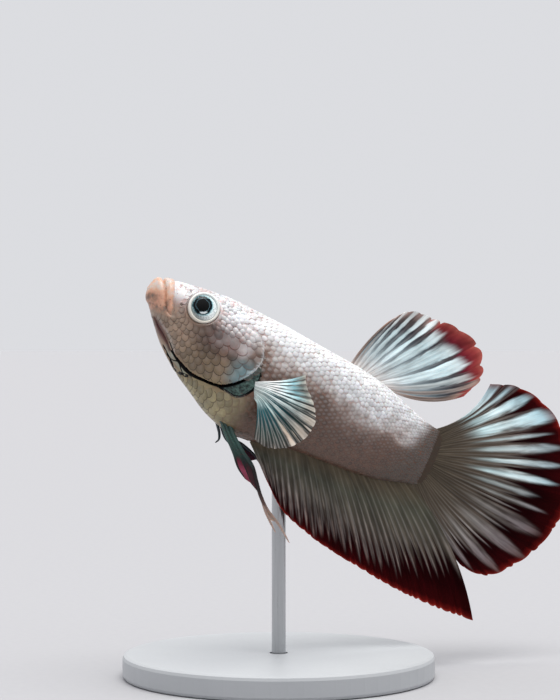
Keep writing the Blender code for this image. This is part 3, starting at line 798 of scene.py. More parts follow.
# %% [markdown]
# ## Scales
#
# A betta's body is covered by small overlapping scales, each rooted in the skin at its front and free at
# its rear. Its cheeks and gill covers carry larger ones, more like plates. A picture of scales on the skin
# would look flat from the side, so each scale here is a thin solid: a round plate bent to the skin, sunk
# at its root and lifted at its free edge. All scales of a kind are made at once, from their roots, and
# joined in one mesh.

# %% Reading the skin between its points
PROBE_A, PROBE_ANGLE = 0.1, 0.03  # how far to each side the skin is read to measure it


def on_skin(a, angle, layer):
    """A layer of the skin grid, read at places between its points."""
    row = np.interp(a, row_a, np.arange(len(row_a)))
    first = np.clip(row.astype(int), 0, len(row_a) - 2)
    past_row = (row - first)[..., None]
    column = np.mod(angle / (2 * np.pi), 1) * AROUND
    left = np.floor(column).astype(int) % AROUND
    right = (left + 1) % AROUND
    past_column = (column - np.floor(column))[..., None]
    on_left = layer[first, left] * (1 - past_row) + layer[first + 1, left] * past_row
    on_right = layer[first, right] * (1 - past_row) + layer[first + 1, right] * past_row
    return on_left * (1 - past_column) + on_right * past_column


def stretch(a, angle):
    """Millimetres of skin for a step along the body, and for a radian around it."""
    along = on_skin(a + PROBE_A, angle, plain) - on_skin(a - PROBE_A, angle, plain)
    around = on_skin(a, angle + PROBE_ANGLE, plain) - on_skin(a, angle - PROBE_ANGLE, plain)
    per_a = np.linalg.norm(along, axis=-1) / (2 * PROBE_A)
    per_angle = np.linalg.norm(around, axis=-1) / (2 * PROBE_ANGLE)
    return per_a, per_angle


mark_names = list(skin_marks)
mark_layer = np.stack([skin_marks[name].reshape(grid_q.shape) for name in mark_names], axis=2)
girth_step = stretch(np.array([20.0]), np.array([math.pi / 2]))[1][0]
print("one radian round the flank is", round(float(girth_step), 2), "mm of skin")

# %% Making scales
OUTER_RIM = 1.02  # the underside of a scale reaches a little past its top
PATCH = 0.0015  # half the size of a scale's own patch in the flat map


def disc(steps):
    """A square grid bent to a disc, the numbers of its rim points in order, and its quads."""
    side = np.linspace(-1, 1, steps)
    u, v = np.meshgrid(side, side, indexing="ij")
    x, y = u * np.sqrt(1 - v**2 / 2), v * np.sqrt(1 - u**2 / 2)
    index = np.arange(steps**2).reshape(steps, steps)
    rim = np.concatenate([index[0, :-1], index[:-1, -1], index[-1, :0:-1], index[:0:-1, 0]])
    return x.ravel(), y.ravel(), rim, quads_between(index[:, :-1], index[:, 1:])


def add_scales(name, roots, sizes, turn, lift, dome, thick, seeds, steps=5):
    """Scales at (a, angle) roots, each (half length, half width), turned, lifted from front to rear."""
    x, y, rim, quads = disc(steps)
    top, around = len(x), len(rim)
    x = np.concatenate([x, x[rim] * OUTER_RIM, [0]])
    y = np.concatenate([y, y[rim] * OUTER_RIM, [0]])
    along, across = x * sizes[:, :1], y * sizes[:, 1:]
    turn = turn[:, None]
    per_a, per_angle = stretch(roots[:, 0], roots[:, 1])
    a = roots[:, :1] + (along * np.cos(turn) - across * np.sin(turn)) / per_a[:, None]
    angle = roots[:, 1:] + (along * np.sin(turn) + across * np.cos(turn)) / per_angle[:, None]
    near_rim = np.hypot(x, y)
    height = lift[:, :1] + (lift[:, 1:] - lift[:, :1]) * (x + 1) / 2 + dome[:, None] * (1 - near_rim**2)
    height[:, top:] -= thick
    points = on_skin(a, angle, skin_grid) + on_skin(a, angle, plain_out) * height[:, :, None]
    ring = np.arange(around)
    after = (ring + 1) % around
    skirt = np.stack([rim[after], rim[ring], top + ring, top + after], axis=1)
    under = np.stack([top + after, top + ring, np.full(around, top + around)], axis=1)
    start = np.arange(len(roots))[:, None, None] * len(x)
    faces = [(start + part[None]).reshape(-1, part.shape[1]) for part in (quads, skirt, under)]
    marks = on_skin(a, angle, mark_layer).reshape(-1, len(mark_names))
    values = {key: marks[:, k] for k, key in enumerate(mark_names)}
    values["place"] = on_skin(a, angle, plain).reshape(-1, 3)
    values["rim"] = np.tile(1 - np.minimum(near_rim, 1), len(roots))
    values["seed"] = np.repeat(seeds, len(x))
    spot = inside(np.stack([roots[:, 0] / SKIN_END, roots[:, 1] / (2 * np.pi)], axis=1))
    patch = (spot[:, None, :] + PATCH * np.stack([x, y], axis=1)[None]).reshape(-1, 2)
    corners = np.concatenate([part.ravel() for part in faces])
    world = to_world(bend(*points.reshape(-1, 3).T))
    piece = add_piece(name, world, sum((part.tolist() for part in faces), []), values, patch[corners])
    print(name, len(roots), "scales,", len(roots) * (2 * len(quads) + 3 * around), "triangles")
    return piece


print("a small scale has", len(disc(5)[0]), "points on top and a large one", len(disc(7)[0]))

# %% [markdown]
# ### Body scales
#
# Body scales stand in a brick pattern: each column of scales sits half a step round from the last. They
# could be scattered by a modifier, but it would not keep the pattern. The step along the body is about two
# thirds of a millimetre, and the same number of rows runs the whole way to the tail, so the scales grow
# smaller there, as they do on the fish. Each is larger than its step, so that they overlap.

# %% Body scales
SCALE_ROWS = 50
SCALE_STEP = ([12.0, 25.0, 45.0], [0.72, 0.66, 0.46])  # the step along the body at three places
SCALE_LONG, SCALE_WIDE = 0.86, 0.58  # half sizes, as shares of the steps along and round
SCALE_THICK = 0.06
FIRST_COLUMN = 9.0
RING_SAMPLES = 721
random = np.random.default_rng(7)


def body_roots():
    """(a, angle) of every body scale, with its step along and round the body."""
    roots = []
    angles = np.linspace(0, 2 * np.pi, RING_SAMPLES)
    one = np.ones(SCALE_ROWS)
    a = FIRST_COLUMN
    column = 0
    while a < BODY_LENGTH + 0.4:
        step = np.interp(a, *SCALE_STEP)
        ring = on_skin(np.full(RING_SAMPLES, a), angles, plain)
        length = np.concatenate([[0], np.cumsum(np.linalg.norm(np.diff(ring, axis=0), axis=1))])
        share = (np.arange(SCALE_ROWS) + 0.5 * (column % 2)) / SCALE_ROWS * length[-1]
        angle = np.interp(share, length, angles)
        roots.append(np.stack([a * one, angle, step * one, length[-1] / SCALE_ROWS * one], axis=1))
        a += step
        column += 1
    return np.concatenate(roots)


roots = body_roots()
middle = on_skin(roots[:, 0], roots[:, 1], plain)
roots = roots[zones(middle, head_fields(middle))[0]]
count = len(roots)
roots[:, :2] += random.normal(0, 0.05, (count, 2)) * (1, 0.25)
half_sizes = np.stack([roots[:, 2] * SCALE_LONG, roots[:, 3] * SCALE_WIDE], axis=1)
half_sizes = half_sizes * random.uniform(0.90, 1.08, (count, 1))
lifts = np.stack([np.full(count, -0.07), random.uniform(0.04, 0.08, count)], axis=1)
turns = random.normal(0, 0.10, count)
seeds = random.uniform(0, 1, count)
body_scales = add_scales(
    "body_scales", roots[:, :2], half_sizes, turns, lifts, np.full(count, 0.05), SCALE_THICK, seeds
)

# %% [markdown]
# ### Head plates
#
# The plates of the head have no such order. Their roots are spread by chance and then evened out: every
# point of the skin joins its nearest root, and each root moves to the middle of its own points, a few times
# over. Plates are largest on the gill cover, small and puffy behind the eye, and the two sides mirror one
# another.

# %% Places of the head plates
PLATE_GAP = 0.72  # no two first roots stand nearer than this share of the distance wanted
EVENING_ROUNDS = 8
PLATE_THICK = 0.05


def plate_step(points):
    """The distance wanted between plates."""
    a, h = points[:, 0], points[:, 2]
    step = np.interp(a, [2, 6, 9, 13, 16], [0.60, 0.82, 1.0, 1.3, 1.35])
    step = np.where(h > -1.4, np.interp(a, [4, 9, 12, 16], [0.62, 0.66, 0.80, 1.0]), step)
    step = np.where(h > 1.8, 0.62, step)
    return np.where((h < BREAST_TOP) | (a < 4.2), np.interp(a, [2, 8, 16], [0.6, 0.85, 1.15]), step)


def head_roots():
    """(row, column) of evenly spread plate roots on the right half of the skin."""
    rows, columns = np.meshgrid(np.arange(HEAD_ROWS), np.arange(2, AROUND // 2 - 1), indexing="ij")
    rows, columns = rows.ravel(), columns.ravel()
    points = plain[rows, columns]
    keep = zones(points, head_fields(points))[1]
    rows, columns, points = rows[keep], columns[keep], points[keep]
    step = plate_step(points)
    chosen = []
    for k in random.permutation(len(points)):
        gaps = np.linalg.norm(points[chosen] - points[k], axis=1) if chosen else np.array([9.0])
        if gaps.min() > PLATE_GAP * step[k]:
            chosen.append(k)
    for _ in range(EVENING_ROUNDS):
        gaps = np.linalg.norm(points[:, None] - points[chosen][None], axis=2) / step[chosen]
        owner = gaps.argmin(axis=1)
        centres = [points[owner == k].mean(axis=0) for k in range(len(chosen)) if (owner == k).any()]
        chosen = [int(np.linalg.norm(points - centre, axis=1).argmin()) for centre in centres]
    return rows[chosen], columns[chosen], step[chosen]


plate_rows, plate_columns, plate_steps = head_roots()
count = len(plate_rows)
print("each side of the head has", count, "plates")

# %% Head plates
one_side = np.stack([row_a[plate_rows], column_angle[plate_columns]], axis=1)
at = plain[plate_rows, plate_columns]
puffy = ease((at[:, 2] + 2.6) / 1.2) * ease((at[:, 0] - 8.5) / 1.0)
half_lengths = plate_steps * random.uniform(0.74, 0.84, count) * (1 - 0.22 * puffy)
half_sizes = half_lengths[:, None] * np.array([1.0, 0.93])
downward = np.where(at[:, 2] > 1.5, 0.1, np.where(at[:, 2] < BREAST_TOP, 0.15, 0.62))
downward = downward + random.normal(0, 0.12, count)
flatter = 1 - 0.45 * (at[:, 2] < -1.0) - 0.3 * (at[:, 2] > 1.8)
lifts = np.stack([np.full(count, -0.06), random.uniform(0.04, 0.07, count)], axis=1) * flatter[:, None]
seeds = random.uniform(0, 1, count)
mirrored = one_side * (1, -1) + (0, 2 * np.pi)
head_plates = add_scales(
    "head_plates",
    np.concatenate([one_side, mirrored]),
    np.tile(half_sizes, (2, 1)),
    np.concatenate([downward, -downward]),
    np.tile(lifts, (2, 1)),
    np.tile(0.015 + 0.13 * puffy, 2),
    PLATE_THICK,
    np.tile(seeds, 2),
    steps=7,
)

# %% [markdown]
# ## The scales' finish
#
# A scale is a thin clear plate over a silvery layer, and no two shine alike. One material for all of them
# would make an even net, and one for each would be far too many. So every scale stores a number of its own
# and how near each of its points is to its rim, and one material makes the brightness, the pale middle and
# the dark outline from those. The pale middle is partly the silver and partly a painted highlight.

# %% Scale material
# Slimy scale: clear over silver, each one with a pale middle, partly silver and partly a painted highlight,
# and dark at its rim.
BLOTCHES, RIPPLES = 0.9, 5.0  # how many fit in a millimetre
scale_plate, tree, surface = new_material(
    "slimy_scale",
    Coat_Weight=0.3,
    Coat_Roughness=0.2,
    Subsurface_Weight=0.08,
    Subsurface_Scale=0.0004,
    IOR=1.45,
)
ground, place, grain, mark = body_colour(tree)
rim = node(tree, "Attribute", attribute_name="rim").outputs["Fac"]
seed = node(tree, "Attribute", attribute_name="seed").outputs["Fac"]
dimmest = node(tree, "Mix", {0: mark["head"], 2: 0.80, 3: 0.66})
brightness = node(tree, "MapRange", {0: seed, 3: dimmest, 4: 1.10})
blotches = node(tree, "TexNoise", {"Vector": place, "Scale": BLOTCHES, "Detail": 2.0})
mottled = node(tree, "MapRange", {0: blotches, 1: 0.3, 2: 0.7, 3: 0.84, 4: 1.14})
value = node(tree, "Math", {0: brightness, 1: mottled}, operation="MULTIPLY")
varied = node(tree, "HueSaturation", {"Color": ground, "Value": value})
# The pale middle of each scale: partly its silver and partly a painted highlight, strongest high on the
# flank.
pale = node(tree, "Mix", {0: 0.45, 6: varied, 7: paint("f6f1f0")}, **COLOURS)
on_flank = node(tree, "Math", {0: mark["pearl_and_highlight"], 1: 0.75}, operation="MULTIPLY")
shown = node(tree, "Mix", {0: mark["head"], 2: on_flank, 3: 0.10})
centre = node(tree, "MapRange", {0: rim, 1: 0.25, 2: 0.75, 4: shown}, **SMOOTH)
lit = node(tree, "Mix", {0: centre, 6: varied, 7: pale}, **COLOURS)
outline_width = node(tree, "MapRange", {0: mark["head"], 3: 0.34, 4: 0.13})
light_rim = node(tree, "MapRange", {0: mark["tone"], 1: 0.7, 2: 0.92, 3: 0.9, 4: 0.4})
outline_depth = node(tree, "Mix", {0: mark["head"], 2: 0.28, 3: light_rim})
outline_stops = {0: rim, 1: 0.0, 2: outline_width, 3: outline_depth, 4: 0.0}
outline = node(tree, "MapRange", outline_stops, **SMOOTH)
rim_stops = [(0.0, "211510"), (0.56, "2b1c16"), (0.74, "6a4236"), (0.9, "94685a"), (1.0, "b58474")]
head_rim = node(tree, "ValToRGB", {"Fac": mark["tone"]}, rim_stops)
outline_colour = node(tree, "Mix", {0: mark["head"], 6: paint("8a665b"), 7: head_rim}, **COLOURS)
outlined = node(tree, "Mix", {0: outline, 6: lit, 7: outline_colour}, **COLOURS)
ripple = node(tree, "TexNoise", {"Vector": place, "Scale": RIPPLES, "Detail": 4.0})
gloss = node(tree, "MapRange", {0: grain, 3: 0.32, 4: 0.5})
finish(tree, surface, outlined, gloss, ripple, 0.02)
dress([body_scales, head_plates], scale_plate)

# %% [markdown]
# ## Eyes
#
# The eye of a betta is a clear dome over a shiny iris, inside a thick pale ring of skin, and the pupil
# sits a little forward in it. A ball with a separate ring could do, but a gap would show between them. So
# the eye is turned like a pot: one outline of radius and height, swept round the line that points sideways
# out of the head. Each point keeps its distance from the ring's middle and from the pupil's, and the
# material paints by those.

# %% Eye shape
EYE_STEPS, EYE_RINGS = 96, 56
RING_RADIUS = 2.04
PUPIL_AT = (-0.30, 0.14)  # millimetres back and up from the middle of the ring
EYE_FRONT = 0.55  # above this height the eye is outside the head
FAR = 3  # a distance beyond all markings, for the hidden back of the eye
EYE_OUTLINE = [
    (0.0, 1.42), (0.5, 1.39), (0.95, 1.30), (1.3, 1.18), (1.54, 1.04),
    (1.62, 0.96), (1.67, 1.00), (1.74, 1.11), (1.84, 1.14), (1.95, 1.05),
    (2.03, 0.85), (2.05, 0.60), (1.98, 0.30), (1.2, 0.10), (0.0, 0.05),
]


def build_eye(name, side):
    """An eye on one side, -1 left or 1 right."""
    outline = curve_through(EYE_OUTLINE, np.linspace(0, 1, EYE_RINGS))
    turn = np.arange(EYE_STEPS) / EYE_STEPS * 2 * np.pi
    radius = np.repeat(np.maximum(outline[1:-1, 0], 0.01), EYE_STEPS)
    height = np.repeat(outline[1:-1, 1], EYE_STEPS)
    turns = np.tile(turn, len(outline) - 2)
    radius = np.concatenate([radius, [0, 0]])
    height = np.concatenate([height, outline[[0, -1], 1]])
    turns = np.concatenate([turns, [0, 0]])
    back, up = radius * np.cos(turns), radius * np.sin(turns)
    points = bend(EYE_AT[0] + back, side * (EYE_AT[1] + height), EYE_AT[2] + up)
    index = np.arange(len(points) - 2).reshape(-1, EYE_STEPS)
    after = np.roll(index, -1, axis=1)
    quads = np.stack([index[:-1], after[:-1], after[1:], index[1:]], axis=2).reshape(-1, 4)
    top = np.stack([np.full(EYE_STEPS, len(points) - 2), after[0], index[0]], axis=1)
    base = np.stack([np.full(EYE_STEPS, len(points) - 1), index[-1], after[-1]], axis=1)
    faces = [part[:, ::-side].tolist() for part in (quads, top, base)]
    front = height > EYE_FRONT
    pupil_back, pupil_up = back - PUPIL_AT[0], up - PUPIL_AT[1]
    # A painted catchlight: a light crescent below the pupil.
    below = 0.5 * pupil_back - 0.87 * pupil_up
    beside = 0.87 * pupil_back + 0.5 * pupil_up
    from_catchlight = np.hypot(beside / 0.6, (below - 1.0 + 0.45 * beside**2) / 0.14)
    values = {
        "ring": np.where(front, radius, FAR),
        "pupil": np.where(front, np.hypot(pupil_back, pupil_up), FAR),
        "up": up / RING_RADIUS,
        "back": back / RING_RADIUS,
        "painted_catchlight": ease(2.5 - 2.5 * from_catchlight) * front,
        "place": np.stack([back, height, up], axis=1),
    }
    flat = 0.25 + 0.11 * np.stack([back, up], axis=1)
    flat[~front, 0] += 0.5
    corners = np.concatenate([np.ravel(part) for part in faces])
    piece = add_piece(name + "_globe", to_world(points), sum(faces, []), values, flat[corners])
    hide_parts(name)
    return piece


eyes = [build_eye("eye_left", -1), build_eye("eye_right", 1)]
print("eyes", round(2 * RING_RADIUS, 2), "mm across")

# %% [markdown]
# ## The eyes' finish
#
# Under the wet cornea lie a black pupil with a thin light rim, an iris like mother of pearl, a light
# crescent under the pupil that is a painted catchlight, and the white ring of skin. The iris is also painted
# darker towards its lower front, and the groove inside the ring blue grey, as painted shade. Separate meshes
# for pupil and iris would need to fit to a hair. Rings of colour by distance from the pupil, with an edge
# that a little noise makes uneven, give the same eye.

# %% Eye material
# Wet eye: a mirror-smooth clear coat over a black pupil, a silvery blue iris and a waxy white ring.
THREADS, SPARKLES = 3.5, 6.0  # how many fit in a millimetre of the iris
wet_eye, tree, surface = new_material(
    "wet_eye", Coat_Weight=0.3, Coat_Roughness=0.02, Specular_IOR_Level=0.1
)
mark = {
    name: node(tree, "Attribute", attribute_name=name).outputs["Fac"]
    for name in ("ring", "pupil", "up", "back", "painted_catchlight")
}
place = node(tree, "Attribute", attribute_name="place").outputs["Vector"]
threads = node(tree, "TexNoise", {"Vector": place, "Scale": THREADS, "Detail": 4.0})
wobble = node(tree, "Math", {0: threads, 1: 0.40, 2: -0.20}, operation="MULTIPLY_ADD")
edge_of_pupil = node(tree, "Math", {0: mark["pupil"], 1: wobble}, operation="ADD")
pupil_stops = [
    (0.0, "010102"), (0.40, "010203"), (0.43, "5d7d88"), (0.455, "16262d"), (0.49, "03070a"),
    (0.57, "06141a"), (0.61, "2c6270"), (0.65, "cdf2f6"), (0.75, "f6ffff"), (1.0, "fbffff"),
]
pupil_scale = node(tree, "Math", {0: edge_of_pupil, 1: 0.5}, operation="MULTIPLY")
iris = node(tree, "ValToRGB", {"Fac": pupil_scale}, pupil_stops)
sparkle = node(tree, "TexNoise", {"Vector": place, "Scale": SPARKLES, "Detail": 3.0})
shine = node(tree, "MapRange", {0: sparkle, 1: 0.36, 2: 0.62, 3: 0.70, 4: 1.15}, **SMOOTH)
glinting = node(tree, "HueSaturation", {"Color": iris, "Value": shine})
# Painted shade: the iris is darker towards its lower front.
up_and_back = node(tree, "Math", {0: mark["back"], 1: 0.6, 2: mark["up"]}, operation="MULTIPLY_ADD")
lower = node(tree, "MapRange", {0: up_and_back, 1: -0.9, 2: 0.1, 3: 0.35, 4: 1.1}, **SMOOTH)
shaded = node(tree, "HueSaturation", {"Color": glinting, "Value": lower})
# The painted catchlight below the pupil.
with_catchlight = node(tree, "Mix", {0: mark["painted_catchlight"], 6: shaded, 7: paint("f2fbfd")}, **COLOURS)
ring_stops = [(0.0, "f4faf8"), (0.5, "f6f5ee"), (1.0, "e2dacd")]
ring_up = node(tree, "MapRange", {0: mark["up"], 1: 1.0, 2: -1.0})
ring_colour = node(tree, "ValToRGB", {"Fac": ring_up}, ring_stops)
on_ring = node(tree, "MapRange", {0: mark["ring"], 1: 1.58, 2: 1.66}, **SMOOTH)
# Painted shade in the groove between the iris and the ring, blue grey.
groove = node(tree, "MapRange", {0: mark["ring"], 1: 1.74, 2: 1.62, 4: 0.6}, **SMOOTH)
ring_shaded = node(tree, "Mix", {0: groove, 6: ring_colour, 7: paint("6f8f93")}, **COLOURS)
painted = node(tree, "Mix", {0: on_ring, 6: with_catchlight, 7: ring_shaded}, **COLOURS)
outer = node(tree, "MapRange", {0: mark["ring"], 1: 1.97, 2: 2.05, 4: 0.6}, **SMOOTH)
painted = node(tree, "Mix", {0: outer, 6: painted, 7: paint("8d7d74")}, **COLOURS)
gloss = node(tree, "MapRange", {0: mark["ring"], 1: 1.5, 2: 1.7, 3: 0.12, 4: 0.35})
finish(tree, surface, painted, gloss, threads, 0.004)
dress(eyes, wet_eye)

# %% [markdown]
# ## Fins
#
# A fin is a fan of bony rays with thin skin between them. The rays fork on their way out, and they carry
# pale bands, with darker skin in the gaps, and a red border. A flat sheet with lines painted on it would
# look like paper, so each fin is a thin closed solid: ribs over the rays, hollows between them, and an edge
# where the rays stick out a little. One function makes every fin but the two belly fins, from a rule that
# says where its middle sheet lies.

# %% Where the middle fins lie
DORSAL_ROOT = [(28.6, 4.4), (32.6, 4.45), (36.8, 3.9)]
DORSAL_EDGE = [
    (31.3, 12.3), (33.6, 15.2), (37.4, 16.4), (42.0, 17.1),
    (45.8, 16.4), (47.5, 13.0), (46.0, 9.0),
]
ANAL_ROOT = [(20.6, -11.3), (25.0, -9.9), (30.0, -9.0), (35.0, -8.1), (40.0, -6.8), (44.9, -4.9)]
ANAL_EDGE = [
    (24.4, -14.7), (28.0, -16.9), (33.5, -18.1), (40.5, -18.6),
    (48.0, -18.7), (54.5, -18.3), (59.8, -17.5),
]
TAIL_ROOT = [(44.7, 3.8), (45.4, 1.0), (45.3, -2.8), (43.9, -5.2)]
TAIL_EDGE = [
    (49.5, 12.9), (52.9, 14.5), (57.4, 14.6), (61.8, 12.5), (65.0, 8.2), (66.5, 2.9),
    (65.8, -2.3), (63.4, -7.4), (59.9, -10.8), (56.4, -11.2), (53.2, -9.8),
]


def sheet_of(root, edge, lift, bow, sway):
    """A rule that turns (share across, share along) to (a, q, h) on a middle fin."""

    def place(i, r):
        """(a, q, h) at shares across and along the fin."""
        start = curve_through(root, i) + lift
        ray = curve_through(edge, i) - start
        across = np.stack([-ray[..., 1], ray[..., 0]], axis=-1)
        flat = start + ray * r[..., None] + across * (bow(i) * 4 * r * (1 - r))[..., None]
        return np.stack([flat[..., 0], sway(i, r), flat[..., 1]], axis=-1)

    return place


def dorsal_sway(i, r):
    """How far the dorsal fin leans sideways: one long wave."""
    return 0.7 * r * np.sin(4.2 * i + 0.4)


def anal_sway(i, r):
    """How far the anal fin leans sideways: to the left at its rear, with small waves."""
    return -1.3 * r * i**2 + 0.45 * r * np.sin(8 * i)


def tail_sway(i, r):
    """How far the tail fin leans sideways: to the right, most at its lower edge, with small waves."""
    return 1.0 * r**2 * (0.35 + 0.65 * i) + 0.45 * r * np.sin(9 * i + 0.5)


def tail_bow(i):
    """How much the rays of the tail fin curve, most at its upper edge."""
    return 0.04 - 0.09 * i - 0.14 * (1 - i) ** 8


dorsal_place = sheet_of(DORSAL_ROOT, DORSAL_EDGE, (0, 0.4), lambda i: 0.04 - 0.12 * i, dorsal_sway)
anal_place = sheet_of(ANAL_ROOT, ANAL_EDGE, (0, -0.4), lambda i: 0.04 * i + 0.035 * i**3, anal_sway)
tail_place = sheet_of(TAIL_ROOT, TAIL_EDGE, (0.35, 0), tail_bow, tail_sway)
print("the tail fin reaches", max(a for a, h in TAIL_EDGE) - BODY_LENGTH, "mm past the body")

# %% Thin closed sheets
def closed_sheet(steps, out_steps):
    """Faces of two layers of a grid of points, joined round their four borders."""
    index = np.arange((steps + 1) * (out_steps + 1)).reshape(steps + 1, out_steps + 1)
    front = quads_between(index[:, :-1], index[:, 1:])
    rims = []
    for one, turned in ((index[0], 1), (index[-1], -1), (index[:, 0], -1), (index[:, -1], 1)):
        two = one + index.size
        rims.append(np.stack([one[:-1], one[1:], two[1:], two[:-1]], axis=1)[:, ::turned])
    return np.concatenate([front, front[:, ::-1] + index.size, *rims])


def two_layers(middle, half):
    """A grid of points moved out on both sides of itself by half its thickness."""
    out = np.cross(np.gradient(middle, axis=0), np.gradient(middle, axis=1))
    out *= half[..., None] / np.maximum(np.linalg.norm(out, axis=2, keepdims=True), 1e-12)
    return np.concatenate([(middle + out).reshape(-1, 3), (middle - out).reshape(-1, 3)])


print("a sheet of two by two quads closes with", len(closed_sheet(2, 2)), "faces")

# %% Making fins
OUT_STEPS = 64  # points along a ray
STREAKS_ACROSS, STREAKS_ALONG = 1.1, 4  # streaks of colour for each ray, and along its whole length


def add_fin(
    name, node_name, place, bands, rays, gap, show,
    thick=0.07, rib=0.12, notch=0.02, spread=0.1, first_r=-0.05,
):
    """A fin from its bands, each (width, where its red starts, coolness, gap), and its number of rays.

    gap and show are tables from root to edge: how wide the gaps are, and how clearly the bands show.
    """
    bands = np.array(bands)
    count = len(bands)
    steps, out_steps = max(10 * count, 5 * rays), OUT_STEPS
    random = np.random.default_rng(len(name))
    i = np.linspace(0, 1, steps + 1)[:, None] * np.ones(out_steps + 1)
    r = np.linspace(first_r, 1, out_steps + 1) * np.ones((steps + 1, 1))
    borders = np.concatenate([[0], np.cumsum(bands[:, 0])]) / bands[:, 0].sum()
    line = np.interp(i, borders, np.arange(count + 1))
    band = np.minimum(line.astype(int), count - 1)
    seed = random.uniform(0, 1, count)[band]
    from_middle = abs(line - band - 0.5) * 2
    from_middle = np.where((line < 0.5) | (line > count - 0.5), 0, from_middle)
    fork = 0.22 * ease((r - 0.35) / 0.5)
    ray = bump(abs(abs(np.mod(i * rays, 1) - 0.5) - fork), 0.12) * (0.25 + 0.75 * ease(r / 0.35))
    streak = random.uniform(-1, 1, 2 * rays + 1)[(i * 2 * rays).astype(int)]
    reach = 1 - notch * from_middle**2 * (0.5 + seed) - 0.4 * notch * seed
    middle = place(i, r * np.where(r > 0, reach, 1))
    taper = np.interp(r, [first_r, 0.1, 0.9, 1], [1.3, 1, 0.55, 0.35])
    half = (thick + rib * (0.4 * (1 - from_middle**2) + 0.6 * ray)) * taper
    points = two_layers(to_world(bend(middle[..., 0], middle[..., 1], middle[..., 2])), half * MM)
    faces = closed_sheet(steps, out_steps)
    red_from = bands[band, 1] - spread * from_middle**1.7 * (0.6 + 0.8 * seed) + 0.035 * streak
    values = {
        "along": np.clip(r, 0, 1),
        "band": 1 - from_middle,
        "ray": ray,
        "seed": seed,
        "red": ease((r - red_from + 0.03) / 0.14),
        "cool": bands[band, 2],
        "gap": np.interp(r, *gap) * bands[band, 3] + 0.05 * streak,
        "show": np.interp(r, *show),
    }
    values = {key: np.tile(value.ravel(), 2) for key, value in values.items()}
    streak_place = np.stack([i * rays * STREAKS_ACROSS, r * STREAKS_ALONG, 0 * r], axis=2)
    values["place"] = np.tile(streak_place.reshape(-1, 3), (2, 1))
    flat = np.stack([i, (r - first_r) / (1 - first_r)], axis=2).reshape(-1, 2) * (0.48, 0.98) + (0.005, 0.01)
    flat = np.concatenate([flat, flat + (0.5, 0)])
    piece = add_piece(name, points, faces.tolist(), values, flat[faces.ravel()])
    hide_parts(node_name)
    print(name, count, "bands,", rays, "rays,", 2 * len(faces), "triangles")
    return piece


# %% [markdown]
# ### Dorsal, tail and anal fins
#
# The three fins in the fish's middle plane differ in how their bands run. The dorsal fin has few, broad
# bands, dark towards its lower rear. The tail has a cold white patch with a deep red border, and narrow
# dark lines lower down. The long anal fin is dull near the body and red at its edge. Its bands are many
# and much alike, so chance gives their widths, where the other two have theirs listed.

# %% Dorsal, tail and anal fins
DORSAL_BANDS = [
    (0.5, 1.2, 0.0, 1.0), (0.6, 1.2, 0.3, 1.0), (0.7, 1.2, 0.7, 1.0), (0.8, 1.15, 0.9, 1.2),
    (0.8, 1.1, 1, 1.3), (0.8, 0.98, 1, 1.2), (1.2, 0.80, 1, 0.5), (1.4, 0.76, 1, 0.3),
    (1.3, 0.78, 1, 0.3), (0.8, 0.84, 0.5, 0.9), (0.9, 0.98, 0.1, 1.1), (0.9, 0.86, 0.0, 1.2),
]
dorsal = add_fin(
    "dorsal_rays", "dorsal_fin", dorsal_place, DORSAL_BANDS, 26,
    ([0, 0.3, 0.7, 1], [0.10, 0.22, 0.36, 0.25]), ([0, 0.15, 1], [0.6, 1, 1]), notch=0.03, spread=0.06,
)
# The lower bands are warmer and greyer than the upper ones: partly the fin's own colour and partly painted
# shade on the lower rays.
TAIL_BANDS = [
    (0.45, 1.30, 0.7, 0.5), (0.55, 1.20, 0.8, 0.8), (0.80, 0.94, 1.0, 0.5), (0.90, 1.04, 1.0, 0.6),
    (0.35, 0.82, 0.5, 1.4), (0.60, 0.91, 0.5, 1.0), (0.50, 0.88, 0.6, 1.1), (0.60, 0.82, 0.8, 0.9),
    (0.50, 0.70, 0.3, 1.1), (0.35, 0.82, 0.1, 1.2), (0.20, 0.60, 0.0, 1.3), (0.65, 0.87, 0.0, 1.0),
    (0.20, 0.66, 0.0, 1.3), (0.70, 0.94, 0.0, 0.9), (0.20, 0.68, 0.0, 1.3), (0.65, 0.92, 0.0, 1.0),
    (0.20, 0.66, 0.0, 1.3), (0.60, 0.90, 0.0, 1.1), (0.30, 0.72, 0.0, 1.3), (0.50, 0.86, 0.0, 1.2),
]
tail = add_fin(
    "tail_rays", "caudal_fin", tail_place, TAIL_BANDS, 44,
    ([0, 0.3, 0.6, 1], [0.40, 0.34, 0.30, 0.34]), ([0, 0.18, 0.4, 0.85, 1], [0.0, 0.05, 0.95, 1, 0.7]),
    notch=0.012, spread=0.32,
)
ANAL_RAYS = 30  # and as many bands
widths = random.uniform(0.6, 1.4, ANAL_RAYS)
changes = random.uniform(-0.08, 0.10, ANAL_RAYS)
ANAL_BANDS = [
    (width, 0.93 - 0.33 * share**1.3 + change * (1 - 0.6 * share), 0.3 * (share < 0.5), 1 + 0.4 * share)
    for width, change, share in zip(widths, changes, np.linspace(0, 1, ANAL_RAYS))
]
anal = add_fin(
    "anal_rays", "anal_fin", anal_place, ANAL_BANDS, ANAL_RAYS,
    ([0, 0.3, 0.6, 1], [0.15, 0.35, 0.5, 0.6]), ([0, 0.2, 0.5, 1], [0.1, 0.2, 0.9, 1]),
    rib=0.09, notch=0.012, spread=0.2, first_r=-0.09,
)

# %% [markdown]
# ### Breast fins
#
# The breast fins are small fans at the rear of the gill covers. The left one is spread and stands away
# from the flank. The right one is half folded, as it is on the inside of the turn. Flat fans could be
# turned into place, but then they would cut the body. So their rule starts each ray at the body's own
# width and flares from there.

